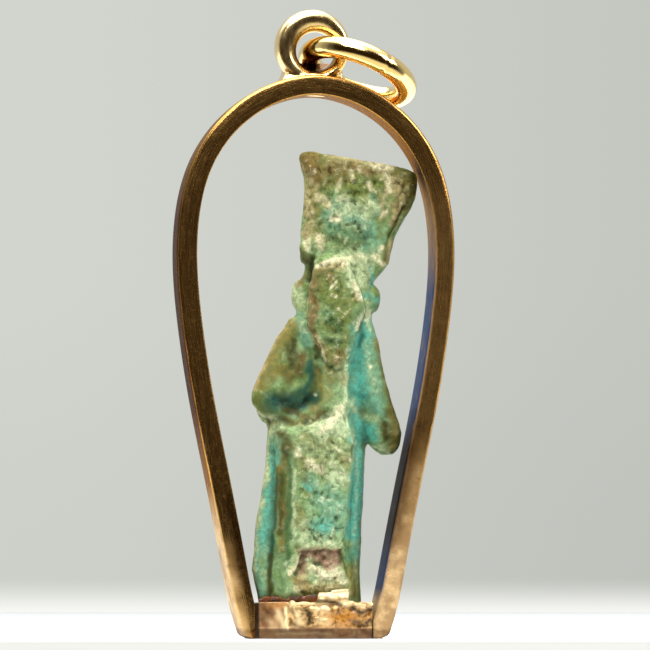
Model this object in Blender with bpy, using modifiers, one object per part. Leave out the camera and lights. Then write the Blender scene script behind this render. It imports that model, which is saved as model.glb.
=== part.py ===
"""Glazed standing deity amulet in a gold pendant frame, in metres, +Z up, standing on z = 0.

The photographed side (back pillar of the figure) faces -Y. Change the named sizes below: the frame, the figure,
the bail and the ring follow them.
"""

import math

import bmesh
import bpy
import numpy as np
from mathutils import Matrix

MM = 0.001
NAME = "deity_amulet"

# Figure (mm)
FIGURE_HEIGHT = 22.4
FIGURE_FOOT = 0.95

# Band: a flat strip bent to a horseshoe round the figure (mm)
HEADROOM = 3.63
BAND_HEIGHT = FIGURE_FOOT + FIGURE_HEIGHT + HEADROOM
BAND_WIDTH_SHARE = 0.5004
BAND_WIDTH = BAND_WIDTH_SHARE * BAND_HEIGHT
BAND_DEPTH = 3.0
BAND_THICKNESS = 0.96
BAND_EDGE = 0.10
# Half width of the band's outline at shares of its height
BAND_OUTLINE = [
    (0.0, 0.5188), (0.0142, 0.5385), (0.0409, 0.5742), (0.0676, 0.5993), (0.121, 0.6386), (0.1744, 0.678),
    (0.2277, 0.7209), (0.2811, 0.7621), (0.3345, 0.8086), (0.3878, 0.8515), (0.4412, 0.8927), (0.4946, 0.9267),
    (0.548, 0.9571), (0.6013, 0.9821), (0.6547, 0.9975), (0.6814, 1.0), (0.7081, 0.9975), (0.7348, 0.9896),
    (0.7615, 0.9775), (0.7881, 0.9589), (0.8148, 0.932), (0.8415, 0.8937), (0.8682, 0.8426), (0.8949, 0.7728),
    (0.9216, 0.6848), (0.9394, 0.6068), (0.9554, 0.5224), (0.9714, 0.42), (0.9821, 0.3256), (0.9918, 0.2),
    (0.9981, 0.085), (1.0, 0.0),
]
BAND_STATIONS = 110

# Cup at the foot: floor, front and back plates between the two legs (mm)
CUP_WIDTH = 5.46
CUP_HEIGHT = 1.62
CUP_OFFSET = -0.03
LEG_GAP_LEFT = 0.18
LEG_GAP_RIGHT = 0.04
PLATE_THICKNESS = 0.24
FLOOR_THICKNESS = 0.36
PLATE_RECESS = 0.06
SOLDER_RISE = 0.05
TAB_WIDTH = 1.5
TAB_RISE = 0.62
TAB_THICKNESS = 0.24
WINDOW_WIDTH = 0.92
WINDOW_SILL_SHARE = 0.65
WINDOW_SHARE = 0.72
BED_CLEARANCE = 0.04

# Bail on top of the band (mm)
BAIL_RADIUS = 1.78
BAIL_RISE = 1.33
BAIL_DEPTH = 1.70
BAIL_HOLE_RADIUS = 0.95
BAIL_HOLE_SHIFT = (0.25, -0.26)
BAIL_FOOT = 2.05
BAIL_FOOT_RISE = 0.75
BAIL_FOOT_SINK = 0.35
BAIL_WAIST_SHARE = 0.93
BAIL_OFFSET = -0.05
BAIL_LAP = 0.04

# Jump ring (mm, degrees): it hangs through the bail and has fallen onto the right shoulder of the band
RING_RADIUS = 2.45
WIRE_RADIUS = 0.54
RING_FALL = 21.2
RING_ROLL = 18.1
RING_YAW = -1.8
RING_SHIFT = (0.816, 0.223, -0.347)
RING_CLEARANCE = 0.02

# Figure: all the tables below are hundredths of its height
FIGURE_OFFSET = 0.0
FIGURE_DEPTH = 1.0
SIDE_SHEAR = 0.105
TURN_SHEAR = 0.061
VOXELS_IN_HEIGHT = 190
FIGURE_TRIANGLES = 5200

# Rows: height, left, right, back, front
TRUNK = [
    (0.0, -11.2, 9.8, -4.2, 4.2), (3.9, -11.9, 10.5, -4.3, 4.5), (7.0, -12.6, 10.3, -4.4, 5.0),
    (10.3, -13.1, 10.2, -4.3, 5.1), (16.8, -12.7, 10.3, -4.0, 5.3), (21.0, -12.2, 10.4, -3.9, 5.6),
    (25.3, -11.5, 10.7, -3.9, 5.9), (29.6, -10.9, 11.0, -3.9, 6.3), (33.9, -10.4, 11.1, -4.0, 6.8),
    (38.2, -10.0, 11.6, -4.1, 7.2), (42.5, -9.6, 12.4, -4.2, 7.3), (46.8, -8.9, 12.8, -4.3, 7.1),
    (51.0, -8.2, 12.8, -4.3, 6.7), (55.3, -7.2, 12.6, -4.2, 6.2), (59.6, -6.0, 12.4, -4.0, 5.6),
    (63.3, -4.4, 12.6, -3.8, 5.0), (65.2, -3.5, 12.7, -3.7, 4.8), (67.5, -3.3, 12.8, -3.7, 4.9),
    (71.4, -3.0, 12.7, -3.6, 4.8), (74.2, -2.0, 13.9, -3.4, 4.2), (76.3, -2.0, 15.2, -3.2, 3.8),
]
# Rows: height, left, right, back, front, fall to the right
CROWN = [
    (72.0, -1.4, 13.0, -2.6, 3.4, 0.03), (74.6, -1.8, 15.4, -3.1, 3.8, 0.04), (76.3, -2.3, 16.5, -3.3, 3.8, 0.05),
    (78.9, -2.9, 17.1, -3.3, 3.7, 0.06), (82.1, -2.8, 17.7, -3.2, 3.6, 0.08), (86.0, -2.4, 19.7, -3.1, 3.6, 0.11),
    (89.0, -2.1, 21.2, -3.1, 3.8, 0.13), (92.0, -2.2, 22.2, -3.1, 4.0, 0.15), (94.6, -2.9, 22.6, -3.1, 4.1, 0.16),
    (96.4, -3.2, 22.5, -3.0, 4.0, 0.165), (97.3, -2.7, 22.0, -2.7, 3.7, 0.165), (97.8, -1.4, 20.4, -2.1, 3.1, 0.165),
]
# Rows: height, left of the back face, right of it, left foot of the slope, right foot of the slope, back
PILLAR = [
    (0.0, -4.8, 7.6, -8.6, 8.4, -4.5), (4.3, -4.9, 7.8, -8.8, 8.8, -4.7), (8.2, -5.2, 8.2, -9.0, 9.0, -5.2),
    (11.6, -4.8, 7.4, -9.0, 8.4, -5.4), (14.0, -4.6, 6.8, -9.0, 7.8, -6.1), (18.9, -4.7, 6.9, -8.9, 7.9, -6.3),
    (23.2, -4.5, 7.4, -8.8, 8.2, -6.4), (31.8, -4.0, 8.3, -8.6, 9.0, -6.5), (37.1, -5.6, 8.5, -8.4, 9.2, -6.4),
    (39.9, -5.6, 8.2, -8.0, 9.0, -6.1), (42.9, -3.3, 7.7, -6.4, 8.6, -5.6), (48.9, -1.8, 7.1, -4.2, 8.2, -5.2),
    (55.3, -0.7, 7.9, -2.4, 9.2, -5.2), (60.6, -0.3, 9.0, -1.6, 10.2, -5.4),
]
# Rows: height, left, right, back
MANE = [
    (53.4, 4.1, 6.2, -5.3), (55.3, 2.1, 7.3, -5.9), (58.5, 0.4, 8.4, -6.4), (61.8, -0.5, 9.2, -6.7),
    (64.3, -0.7, 9.9, -6.9), (66.0, -0.8, 10.5, -7.0), (68.2, -0.9, 9.9, -7.0), (72.5, -1.0, 8.6, -6.8),
    (75.0, -0.5, 7.9, -6.2), (76.3, 0.4, 7.3, -5.6), (77.4, 1.9, 6.2, -4.6),
]
LEFT_ARM = [
    (41.6, -8.9, -4.7, -3.2, 2.6), (42.7, -10.4, -2.2, -4.0, 3.4), (44.2, -12.1, 0.0, -4.5, 3.8),
    (45.5, -13.2, 1.0, -4.8, 3.9), (47.2, -13.4, 1.0, -4.9, 3.9), (50.0, -12.5, 0.8, -4.9, 3.8),
    (53.2, -11.0, 0.4, -4.8, 3.6), (56.4, -9.4, 0.0, -4.7, 3.5), (59.6, -7.9, -0.5, -4.5, 3.3),
    (62.4, -5.9, -1.6, -4.0, 3.0), (63.9, -5.0, -2.8, -3.2, 2.4),
]
RIGHT_ARM = [
    (35.0, 14.6, 17.2, -1.4, 1.8), (36.0, 13.1, 18.3, -2.2, 2.6), (37.3, 12.0, 18.9, -2.8, 3.2),
    (39.5, 11.0, 19.1, -3.3, 3.6), (42.5, 10.1, 18.2, -3.6, 3.8), (46.8, 9.4, 16.7, -3.8, 3.8),
    (51.0, 9.0, 15.4, -3.9, 3.7), (55.3, 9.0, 14.5, -3.9, 3.5), (58.5, 9.2, 14.1, -3.8, 3.3),
    (61.8, 9.7, 13.2, -3.6, 3.0), (63.5, 10.1, 12.5, -3.0, 2.4),
]
APRON = [
    (22.0, -6.5, 5.5, 2.0, 6.4), (24.0, -6.8, 6.0, 2.0, 7.3), (31.0, -4.8, 6.2, 2.0, 7.9), (38.0, -3.0, 6.0, 2.0, 8.0),
    (41.0, -6.0, 9.0, 2.0, 7.9), (43.0, -6.0, 9.2, 2.0, 7.6),
]
# Rows: centre, half sizes
ROUND_FORMS = [
    ((-3.3, 0.2, 68.9), (1.5, 2.0, 3.3)),
    ((12.9, 0.0, 68.2), (1.5, 2.0, 3.0)),
    ((-1.6, -0.4, 77.6), (1.1, 2.2, 2.2)),
    ((4.0, 4.3, 68.8), (5.6, 3.4, 5.9)),
    ((4.0, 7.4, 68.9), (0.9, 1.3, 1.7)),
    ((4.0, 6.7, 71.6), (3.6, 1.0, 0.7)),
    ((1.7, 6.9, 67.6), (1.5, 1.0, 1.5)),
    ((6.3, 6.9, 67.6), (1.5, 1.0, 1.5)),
    ((4.0, 7.3, 65.9), (1.8, 0.9, 0.6)),
    ((4.0, 6.7, 64.2), (1.8, 1.4, 1.2)),
    ((-0.6, 4.8, 61.5), (2.0, 2.2, 6.5)),
    ((8.6, 4.8, 61.5), (2.0, 2.2, 6.5)),
    ((4.0, 4.6, 56.0), (6.0, 2.9, 4.0)),
    ((-7.6, 4.2, 41.5), (2.6, 2.6, 2.3)),
    ((11.6, 4.0, 39.5), (2.6, 2.6, 2.3)),
    ((-9.6, 2.6, 45.0), (2.8, 2.6, 3.6)),
    ((14.2, 2.4, 42.0), (2.8, 2.6, 3.6)),
]
LEGS = [
    (0.0, 4.3), (3.6, 4.5), (8.0, 5.6), (14.0, 6.1), (20.0, 6.6), (26.0, 6.6),
]
LEG_CENTRES = (-6.0, 3.6)
LEG_HALF_WIDTH = 4.1


def clear_scene():
    for obj in list(bpy.data.objects):
        bpy.data.objects.remove(obj, do_unlink=True)
    for collection in list(bpy.data.collections):
        bpy.data.collections.remove(collection)


def collection(name):
    made = bpy.data.collections.new(name)
    bpy.context.scene.collection.children.link(made)
    return made


def finish_of(name, colour, metallic, roughness):
    material = bpy.data.materials.new(name)
    material.use_nodes = True
    shader = material.node_tree.nodes["Principled BSDF"]
    shader.inputs["Base Color"].default_value = (*colour, 1.0)
    shader.inputs["Metallic"].default_value = metallic
    shader.inputs["Roughness"].default_value = roughness
    return material


def add(name, points, faces, home, material, smooth=True):
    mesh = bpy.data.meshes.new(name)
    mesh.from_pydata([tuple(float(c) for c in p) for p in points], [], faces)
    fixed = bmesh.new()
    fixed.from_mesh(mesh)
    bmesh.ops.recalc_face_normals(fixed, faces=fixed.faces)
    fixed.to_mesh(mesh)
    fixed.free()
    mesh.polygons.foreach_set("use_smooth", [smooth] * len(mesh.polygons))
    obj = bpy.data.objects.new(name, mesh)
    home.objects.link(obj)
    if material:
        mesh.materials.append(material)
    return obj


def tube_faces(rings, count, closed):
    """Quads between successive rings of points, joined end to start when closed and capped when not."""
    faces = []
    last = rings if closed else rings - 1
    for i in range(last):
        a, b = i * count, (i + 1) % rings * count
        faces += [(a + k, a + (k + 1) % count, b + (k + 1) % count, b + k) for k in range(count)]
    if not closed:
        faces += [tuple(range(count))[::-1], tuple((rings - 1) * count + k for k in range(count))]
    return faces


def smooth_path(points, stations, passes=6):
    """The polyline resampled at even steps, with its small kinks eased and its ends held."""
    points = np.asarray(points, float)
    steps = np.r_[0.0, np.cumsum(np.linalg.norm(np.diff(points, axis=0), axis=1))]
    even = np.linspace(0.0, steps[-1], stations)
    path = np.column_stack([np.interp(even, steps, points[:, k]) for k in range(2)])
    for _ in range(passes):
        path[1:-1] = 0.25 * path[:-2] + 0.5 * path[1:-1] + 0.25 * path[2:]
    return path


def band_paths():
    """Outer and inner edge of the band as (x, z) points in mm, from the left foot over the top to the right foot."""
    half = BAND_WIDTH / 2
    right = [(share * half, height * BAND_HEIGHT) for height, share in BAND_OUTLINE]
    outline = [(-x, z) for x, z in right] + right[-2::-1]
    outer = smooth_path(outline, BAND_STATIONS, 10)
    outer[:, 1] *= BAND_HEIGHT / outer[:, 1].max()
    along = np.gradient(outer, axis=0)
    along /= np.linalg.norm(along, axis=1, keepdims=True)
    inner = outer + BAND_THICKNESS * np.column_stack([along[:, 1], -along[:, 0]])
    inner[0, 1] = inner[-1, 1] = outer[0, 1] = outer[-1, 1] = 0.0
    left = CUP_OFFSET - CUP_WIDTH / 2 - LEG_GAP_LEFT
    right_side = CUP_OFFSET + CUP_WIDTH / 2 + LEG_GAP_RIGHT
    low = inner[:, 1] < CUP_HEIGHT + 0.6 * BAND_THICKNESS
    inner[:, 1] = np.maximum(inner[:, 1], 0.0)
    inner[low & (inner[:, 0] < 0), 0] = np.minimum(inner[low & (inner[:, 0] < 0), 0], left)
    inner[low & (inner[:, 0] > 0), 0] = np.maximum(inner[low & (inner[:, 0] > 0), 0], right_side)
    return outer, inner


def band_top(outer, x):
    """Height of the band's outer edge above a given x, in mm."""
    arch = outer[outer[:, 1] > 0.7 * BAND_HEIGHT]
    order = np.argsort(arch[:, 0])
    return float(np.interp(x, arch[order, 0], arch[order, 1]))


def build_band(home, gold, outer, inner):
    """The strip is its side outline as a filled 2D curve, extruded to the band's depth, with softened edges."""
    outline = np.concatenate([outer, inner[::-1]]) * MM
    data = bpy.data.curves.new("frame_band", "CURVE")
    data.dimensions = "2D"
    data.fill_mode = "BOTH"
    data.extrude = BAND_DEPTH / 2 * MM
    spline = data.splines.new("POLY")
    spline.points.add(len(outline) - 1)
    for point, (x, z) in zip(spline.points, outline):
        point.co = (x, z, 0.0, 1.0)
    spline.use_cyclic_u = True
    data.materials.append(gold)
    band = bpy.data.objects.new("frame_band", data)
    band.rotation_euler = (math.pi / 2, 0.0, 0.0)
    home.objects.link(band)
    weld = band.modifiers.new("close_caps", "WELD")
    weld.merge_threshold = 1e-6
    bevel = band.modifiers.new("soft_edges", "BEVEL")
    bevel.width = BAND_EDGE * MM
    bevel.segments = 1
    bevel.limit_method = "ANGLE"
    bevel.angle_limit = math.radians(60)
    return band


def box(name, low, high, home, material):
    low, high = np.array(low) * MM, np.array(high) * MM
    mesh = bpy.data.meshes.new(name)
    shape = bmesh.new()
    bmesh.ops.create_cube(shape, size=1.0)
    bmesh.ops.scale(shape, vec=tuple(high - low), verts=shape.verts)
    shape.to_mesh(mesh)
    shape.free()
    obj = bpy.data.objects.new(name, mesh)
    obj.location = tuple((low + high) / 2)
    home.objects.link(obj)
    if material:
        mesh.materials.append(material)
    return obj


def combine(target, other, operation):
    step = target.modifiers.new(f"{operation.lower()}_{other.name}", "BOOLEAN")
    step.operation = operation
    step.object = other
    step.solver = "EXACT"


def helper(obj):
    obj.hide_render = True
    obj.display_type = "WIRE"
    return obj


def window_levels():
    """Lower and upper edge of the gap where the resin shows: it starts below the resin's top and ends below the rim."""
    sill = WINDOW_SILL_SHARE * FIGURE_FOOT
    return sill, sill + WINDOW_SHARE * (CUP_HEIGHT - sill)


def build_cup(home, cutters, gold):
    left, right = CUP_OFFSET - CUP_WIDTH / 2, CUP_OFFSET + CUP_WIDTH / 2
    half = BAND_DEPTH / 2 - PLATE_RECESS
    cup = box("base_cup", (left, -half, 0.0), (right, half, CUP_HEIGHT), home, gold)
    inside = half - PLATE_THICKNESS
    cavity = box("cup_cavity", (left - 1, -inside, FLOOR_THICKNESS), (right + 1, inside, CUP_HEIGHT + 1), cutters, None)
    solder_left = left + 0.25 * CUP_WIDTH
    solder = box("solder_patch", (solder_left, -half - SOLDER_RISE, 0.24 * CUP_HEIGHT),
                 (right - 0.02, -half + 0.1, CUP_HEIGHT - 0.04), cutters, None)
    tab_left = left + 0.52 * CUP_WIDTH
    tab = box("rim_tab", (tab_left, -half - 0.02, CUP_HEIGHT - 0.2),
              (tab_left + TAB_WIDTH, -half + TAB_THICKNESS, CUP_HEIGHT + TAB_RISE), cutters, None)
    window_left = left + 0.655 * CUP_WIDTH
    sill, head = window_levels()
    window = box("resin_window", (window_left, -half - 1, sill),
                 (window_left + WINDOW_WIDTH, -inside + 0.1, head), cutters, None)
    for other, operation in ((cavity, "DIFFERENCE"), (solder, "UNION"), (tab, "UNION"), (window, "DIFFERENCE")):
        combine(cup, helper(other), operation)
    return cup, (window_left, inside)


def build_cement(home, cutters, resin, window_left, inside):
    left = CUP_OFFSET - CUP_WIDTH / 2 - LEG_GAP_LEFT + BED_CLEARANCE
    right = CUP_OFFSET + CUP_WIDTH / 2 + LEG_GAP_RIGHT - BED_CLEARANCE
    gap = BED_CLEARANCE
    sill, head = window_levels()
    cement = box("cement_fill", (left, -inside + gap, FLOOR_THICKNESS + gap),
                 (right, inside - gap, FIGURE_FOOT - gap), home, resin)
    lug = box("resin_lug", (window_left + gap, -inside - PLATE_THICKNESS + 0.02, sill + gap),
              (window_left + WINDOW_WIDTH - gap, -inside + 2 * gap, head - gap), cutters, None)
    combine(cement, helper(lug), "UNION")
    return cement


def bail_reach(direction, hole, centre, outer):
    """Distance in mm from the hole's centre to the bail's outline: its round top, its flared foot or the band."""
    near, far = BAIL_HOLE_RADIUS, 3 * BAIL_RADIUS
    for _ in range(40):
        mid = 0.5 * (near + far)
        x, z = hole[0] + mid * direction[0], hole[1] + mid * direction[1]
        above = z > band_top(outer, x) + BAIL_LAP
        in_round = math.hypot(x - centre[0], z - centre[1]) < BAIL_RADIUS
        rise = z - BAND_HEIGHT
        waist = BAIL_WAIST_SHARE * BAIL_RADIUS
        flare = waist + (BAIL_FOOT - waist) * max(0.0, 1 - (rise + BAIL_FOOT_SINK) / BAIL_FOOT_RISE) ** 2
        in_foot = rise < BAIL_FOOT_RISE and abs(x - centre[0]) < flare
        if above and (in_round or in_foot):
            near = mid
        else:
            far = mid
    return near


def build_bail(home, gold, outer):
    centre = (BAIL_OFFSET, BAND_HEIGHT + BAIL_RISE)
    hole = (centre[0] + BAIL_HOLE_SHIFT[0], centre[1] + BAIL_HOLE_SHIFT[1])
    around, across, points = 64, 12, []
    for i in range(around):
        a = 2 * math.pi * i / around
        direction = (math.cos(a), math.sin(a))
        reach = max(bail_reach(direction, hole, centre, outer), BAIL_HOLE_RADIUS + 0.1)
        middle, half = (reach + BAIL_HOLE_RADIUS) / 2, (reach - BAIL_HOLE_RADIUS) / 2
        for k in range(across):
            b = 2 * math.pi * (k + 0.5) / across
            c, s = math.cos(b), math.sin(b)
            r = middle + half * math.copysign(abs(c) ** 0.8, c)
            y = BAIL_DEPTH / 2 * math.copysign(abs(s) ** 0.7, s)
            points.append((hole[0] + r * direction[0], y, hole[1] + r * direction[1]))
    points = np.array(points)
    return add("bail", points * MM, tube_faces(around, across, True), home, gold), points, hole


def turned(vector, degrees):
    c, s = math.cos(math.radians(degrees)), math.sin(math.radians(degrees))
    return np.array([c * vector[0] - s * vector[1], s * vector[0] + c * vector[1], vector[2]])


def build_ring(home, gold, outer, bail_points, hole):
    """The ring lies as photographed, moved by no more than it needs to stand clear of the band and the bail."""
    fall, roll = math.radians(RING_FALL), math.radians(RING_ROLL)
    long_way = turned((math.cos(fall), 0.0, -math.sin(fall)), RING_YAW)
    up = turned((math.sin(fall), 0.0, math.cos(fall)), RING_YAW)
    short_way = math.cos(roll) * turned((0.0, -1.0, 0.0), RING_YAW) + math.sin(roll) * up
    normal = np.cross(long_way, short_way)
    shelf = outer[outer[:, 1] > 0.75 * BAND_HEIGHT]
    shelf = np.concatenate([shelf, 0.5 * (shelf[1:] + shelf[:-1])])
    depths = np.linspace(-BAND_DEPTH / 2, BAND_DEPTH / 2, 25)
    solids = np.array([(x, y, z) for x, z in shelf for y in depths])
    solids = np.concatenate([solids, bail_points])
    start = np.array([hole[0], 0.0, hole[1]]) + RING_RADIUS * np.array(RING_SHIFT)

    def room(centre):
        away = solids - centre
        lift = away @ normal
        radial = np.linalg.norm(away - lift[:, None] * normal, axis=1)
        return float(np.sqrt((radial - RING_RADIUS) ** 2 + lift ** 2).min()) - WIRE_RADIUS

    def cost(centre):
        return 40 * max(0.0, RING_CLEARANCE - room(centre)) + float(np.linalg.norm(centre - start))

    steps, centre = np.random.default_rng(7).normal(size=(700, 3)), start
    for i, step in enumerate(steps):
        tried = centre + step * 0.12 * RING_RADIUS * (1 - i / len(steps)) ** 2
        if cost(tried) < cost(centre):
            centre = tried
    print("ring centre", centre.round(3), "room", round(room(centre), 3), "moved", (centre - start).round(3))
    place = Matrix((long_way, -short_way, -normal)).transposed().to_4x4()
    place.translation = centre * MM
    bpy.ops.mesh.primitive_torus_add(major_radius=RING_RADIUS * MM, minor_radius=WIRE_RADIUS * MM,
                                     major_segments=56, minor_segments=12)
    ring = bpy.context.object
    ring.name = ring.data.name = "jump_ring"
    ring.matrix_world = place
    for other in list(ring.users_collection):
        other.objects.unlink(ring)
    home.objects.link(ring)
    ring.data.materials.append(gold)
    ring.data.shade_smooth()
    return ring


def loft(rows, power=2.6, count=36):
    """A form through rounded-box sections: height, left, right, back, front and fall to the right."""
    points = []
    for row in rows:
        height, left, right, back, front = row[:5]
        fall = row[5] if len(row) > 5 else 0.0
        for k in range(count):
            a = 2 * math.pi * k / count
            c, s = math.cos(a), math.sin(a)
            x = (right - left) / 2 * math.copysign(abs(c) ** (2 / power), c)
            y = (front - back) / 2 * math.copysign(abs(s) ** (2 / power), s)
            points.append(((left + right) / 2 + x, (back + front) / 2 + y, height - fall * x))
    return points, tube_faces(len(rows), count, False)


def pillar_form():
    points = []
    for height, left, right, foot_left, foot_right, back in PILLAR:
        points += [(left, back, height), (right, back, height), (foot_right, -3.4, height)]
        points += [(foot_right, 1.0, height), (foot_left, 1.0, height), (foot_left, -3.6, height)]
    return points, tube_faces(len(PILLAR), 6, False)


def round_form(centre, half):
    shape = bmesh.new()
    bmesh.ops.create_uvsphere(shape, u_segments=24, v_segments=14, radius=1.0)
    points = [tuple(np.array(centre) + np.array(half) * np.array(v.co)) for v in shape.verts]
    faces = [tuple(v.index for v in face.verts) for face in shape.faces]
    shape.free()
    return points, faces


def figure_forms():
    forms = [loft(TRUNK, 2.8), loft(CROWN, 4.0), pillar_form(), loft([(h, l, r, b, 0.0) for h, l, r, b in MANE], 3.2),
             loft(LEFT_ARM, 2.3), loft(RIGHT_ARM, 2.3), loft(APRON, 2.6)]
    for centre in LEG_CENTRES:
        rows = [(h, centre - LEG_HALF_WIDTH, centre + LEG_HALF_WIDTH, 0.0, front) for h, front in LEGS]
        forms.append(loft(rows, 2.2))
    return forms + [round_form(centre, half) for centre, half in ROUND_FORMS]


def build_figure(home, faience):
    unit = FIGURE_HEIGHT / 100
    points, faces = [], []
    for form_points, form_faces in figure_forms():
        start = len(points)
        faces += [tuple(start + k for k in face) for face in form_faces]
        points += form_points
    points = np.array(points, float)
    axis = np.interp(points[:, 2], (0.0, 100.0), (-0.8, 9.7))
    depth = points[:, 1] * FIGURE_DEPTH
    shaped = np.column_stack([
        points[:, 0] + SIDE_SHEAR * depth,
        depth + TURN_SHEAR * (points[:, 0] - axis),
        points[:, 2],
    ]) * unit
    low, high = shaped[:, 2].min(), shaped[:, 2].max()
    shaped[:, 2] = (shaped[:, 2] - low) * FIGURE_HEIGHT / (high - low) + FIGURE_FOOT
    shaped[:, 0] += FIGURE_OFFSET
    figure = add("deity_figure", shaped, faces, home, faience)
    figure.scale = (MM, MM, MM)
    skin = figure.modifiers.new("one_skin", "REMESH")
    skin.mode = "VOXEL"
    skin.voxel_size = FIGURE_HEIGHT / VOXELS_IN_HEIGHT
    skin.use_smooth_shade = True
    wear = figure.modifiers.new("worn_edges", "SMOOTH")
    wear.factor = 0.5
    wear.iterations = 5
    lighter = figure.modifiers.new("fewer_faces", "DECIMATE")
    graph = bpy.context.evaluated_depsgraph_get()
    graph.update()
    fine = figure.evaluated_get(graph).to_mesh()
    fine.calc_loop_triangles()
    lighter.ratio = min(1.0, FIGURE_TRIANGLES / len(fine.loop_triangles))
    figure.evaluated_get(graph).to_mesh_clear()
    return figure


def centre_on_origin(objects):
    """The origin is the middle of the underside of the whole object's box."""
    bpy.context.view_layer.update()
    graph = bpy.context.evaluated_depsgraph_get()
    corners = []
    for obj in objects:
        evaluated = obj.evaluated_get(graph)
        corners += [evaluated.matrix_world @ v.co for v in evaluated.to_mesh().vertices]
        evaluated.to_mesh_clear()
    corners = np.array([tuple(c) for c in corners])
    middle = (corners.min(axis=0) + corners.max(axis=0)) / 2
    for obj in list(bpy.data.objects):
        obj.location = (obj.location.x - middle[0], obj.location.y - middle[1], obj.location.z)
    print("moved to the origin by", (-middle[:2] / MM).round(3), "mm; low", (corners.min(axis=0) / MM).round(3),
          "high", (corners.max(axis=0) / MM).round(3))


def main():
    clear_scene()
    home, cutters = collection(NAME), collection(NAME + "_cutters")
    faience = finish_of("faience", (0.16, 0.32, 0.22), 0.0, 0.55)
    rose = finish_of("rose_gold", (0.52, 0.28, 0.15), 1.0, 0.32)
    yellow = finish_of("yellow_gold", (0.72, 0.46, 0.18), 1.0, 0.22)
    resin = finish_of("resin", (0.52, 0.24, 0.04), 0.0, 0.35)
    outer, inner = band_paths()
    band = build_band(home, rose, outer, inner)
    cup, (window_left, inside) = build_cup(home, cutters, rose)
    cement = build_cement(home, cutters, resin, window_left, inside)
    bail, bail_points, hole = build_bail(home, yellow, outer)
    ring = build_ring(home, yellow, outer, bail_points, hole)
    figure = build_figure(home, faience)
    centre_on_origin([band, cup, cement, bail, ring, figure])


main()
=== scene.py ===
"""Looks of the glazed deity amulet in its gold pendant frame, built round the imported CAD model."""

import logging
import math
from dataclasses import dataclass, field
from enum import Enum
from functools import partial
from typing import Any, Sequence

import bmesh
import bpy
import numpy as np
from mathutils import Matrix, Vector


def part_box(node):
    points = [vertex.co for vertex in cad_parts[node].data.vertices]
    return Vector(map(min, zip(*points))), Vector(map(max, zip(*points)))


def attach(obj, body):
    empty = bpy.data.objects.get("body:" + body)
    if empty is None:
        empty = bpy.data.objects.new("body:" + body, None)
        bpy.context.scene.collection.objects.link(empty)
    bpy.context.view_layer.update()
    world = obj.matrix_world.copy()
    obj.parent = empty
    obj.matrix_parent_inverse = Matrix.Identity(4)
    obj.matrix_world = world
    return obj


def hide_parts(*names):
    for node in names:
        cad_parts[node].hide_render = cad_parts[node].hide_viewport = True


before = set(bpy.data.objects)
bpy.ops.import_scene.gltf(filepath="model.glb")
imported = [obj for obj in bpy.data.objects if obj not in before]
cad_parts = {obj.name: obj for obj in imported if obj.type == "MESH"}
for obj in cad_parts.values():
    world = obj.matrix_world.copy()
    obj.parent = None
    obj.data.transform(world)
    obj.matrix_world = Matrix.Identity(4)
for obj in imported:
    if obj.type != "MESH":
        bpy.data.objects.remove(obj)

LOG = logging.getLogger("deity_amulet")
MM = 0.001
PICTURE_SIDE = 650

Array = np.ndarray
Pixel = tuple[float, float]
Rows = tuple[tuple[float, ...], ...]
Form = tuple[list[Any], list[Any]]
Object = bpy.types.Object
Mesh = bpy.types.Mesh
Material = bpy.types.Material
Tree = bpy.types.NodeTree
Socket = bpy.types.NodeSocket

# Settings that many shader nodes share.
SMOOTH: dict[str, Any] = {"interpolation_type": "SMOOTHSTEP"}
COLOURS: dict[str, Any] = {"out": 2, "data_type": "RGBA"}
TINTED = COLOURS | {"blend_type": "MULTIPLY"}
TIMES = {"operation": "MULTIPLY"}
TIMES_PLUS = {"operation": "MULTIPLY_ADD"}


def linear(colour: str) -> tuple[float, float, float, float]:
    """An sRGB colour, written as a hash and six hex digits, as linear light with an alpha of one."""
    parts = [int(colour[i : i + 2], 16) / 255 for i in (1, 3, 5)]
    red, green, blue = [c / 12.92 if c <= 0.04045 else ((c + 0.055) / 1.055) ** 2.4 for c in parts]
    return red, green, blue, 1.0


def lattice_noise(points: Array, size: float, seed: int) -> Array:
    """Smooth value noise on a cubic lattice.

    Args:
        points: Positions in mm, one row each.
        size: Lattice step in mm.
        seed: Whole number that picks the pattern.

    Returns:
        One value from -1 to 1 for each point.
    """
    scaled = points / size + 57.0
    cell = np.floor(scaled).astype(np.int64)
    part = scaled - cell
    part = part * part * (3 - 2 * part)
    total = np.zeros(len(points))
    for corner in range(8):
        step = np.array([corner & 1, corner >> 1 & 1, corner >> 2 & 1])
        key = cell + step
        mixed = (key[:, 0] * 73856093) ^ (key[:, 1] * 19349663) ^ (key[:, 2] * 83492791) ^ (seed * 2654435761)
        mixed = (mixed ^ (mixed >> 13)) * 1274126177 & 0xFFFFFFFF
        mixed = (mixed ^ (mixed >> 16)) & 0xFFFFFF
        weight = np.prod(np.where(step, part, 1 - part), axis=1)
        total += weight * (mixed / 0x7FFFFF - 1)
    return total


def drift_noise(points: Array, size: float, seeds: tuple[int, int], reach: float) -> Array:
    """How far noise moves each point across and down the picture, up to the reach given."""
    return np.column_stack([lattice_noise(points, size, seed) for seed in seeds]) * reach


def clamp01(values: Array) -> Array:
    """Limit values to the range from zero to one."""
    return np.clip(values, 0.0, 1.0)


def bulge(value: float, power: float) -> float:
    """A cosine or sine bent so that sections become boxy."""
    return math.copysign(abs(value) ** power, value)


def in_mm(corners: Sequence[Any]) -> Array:
    """A box's lowest and highest corner in mm, from its corners in metres."""
    return np.array(corners) / MM


def band_middle() -> float:
    """Where the middle of the band's depth lies along Y, in mm."""
    low, high = in_mm(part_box("frame_band"))
    return (low[1] + high[1]) / 2


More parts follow.
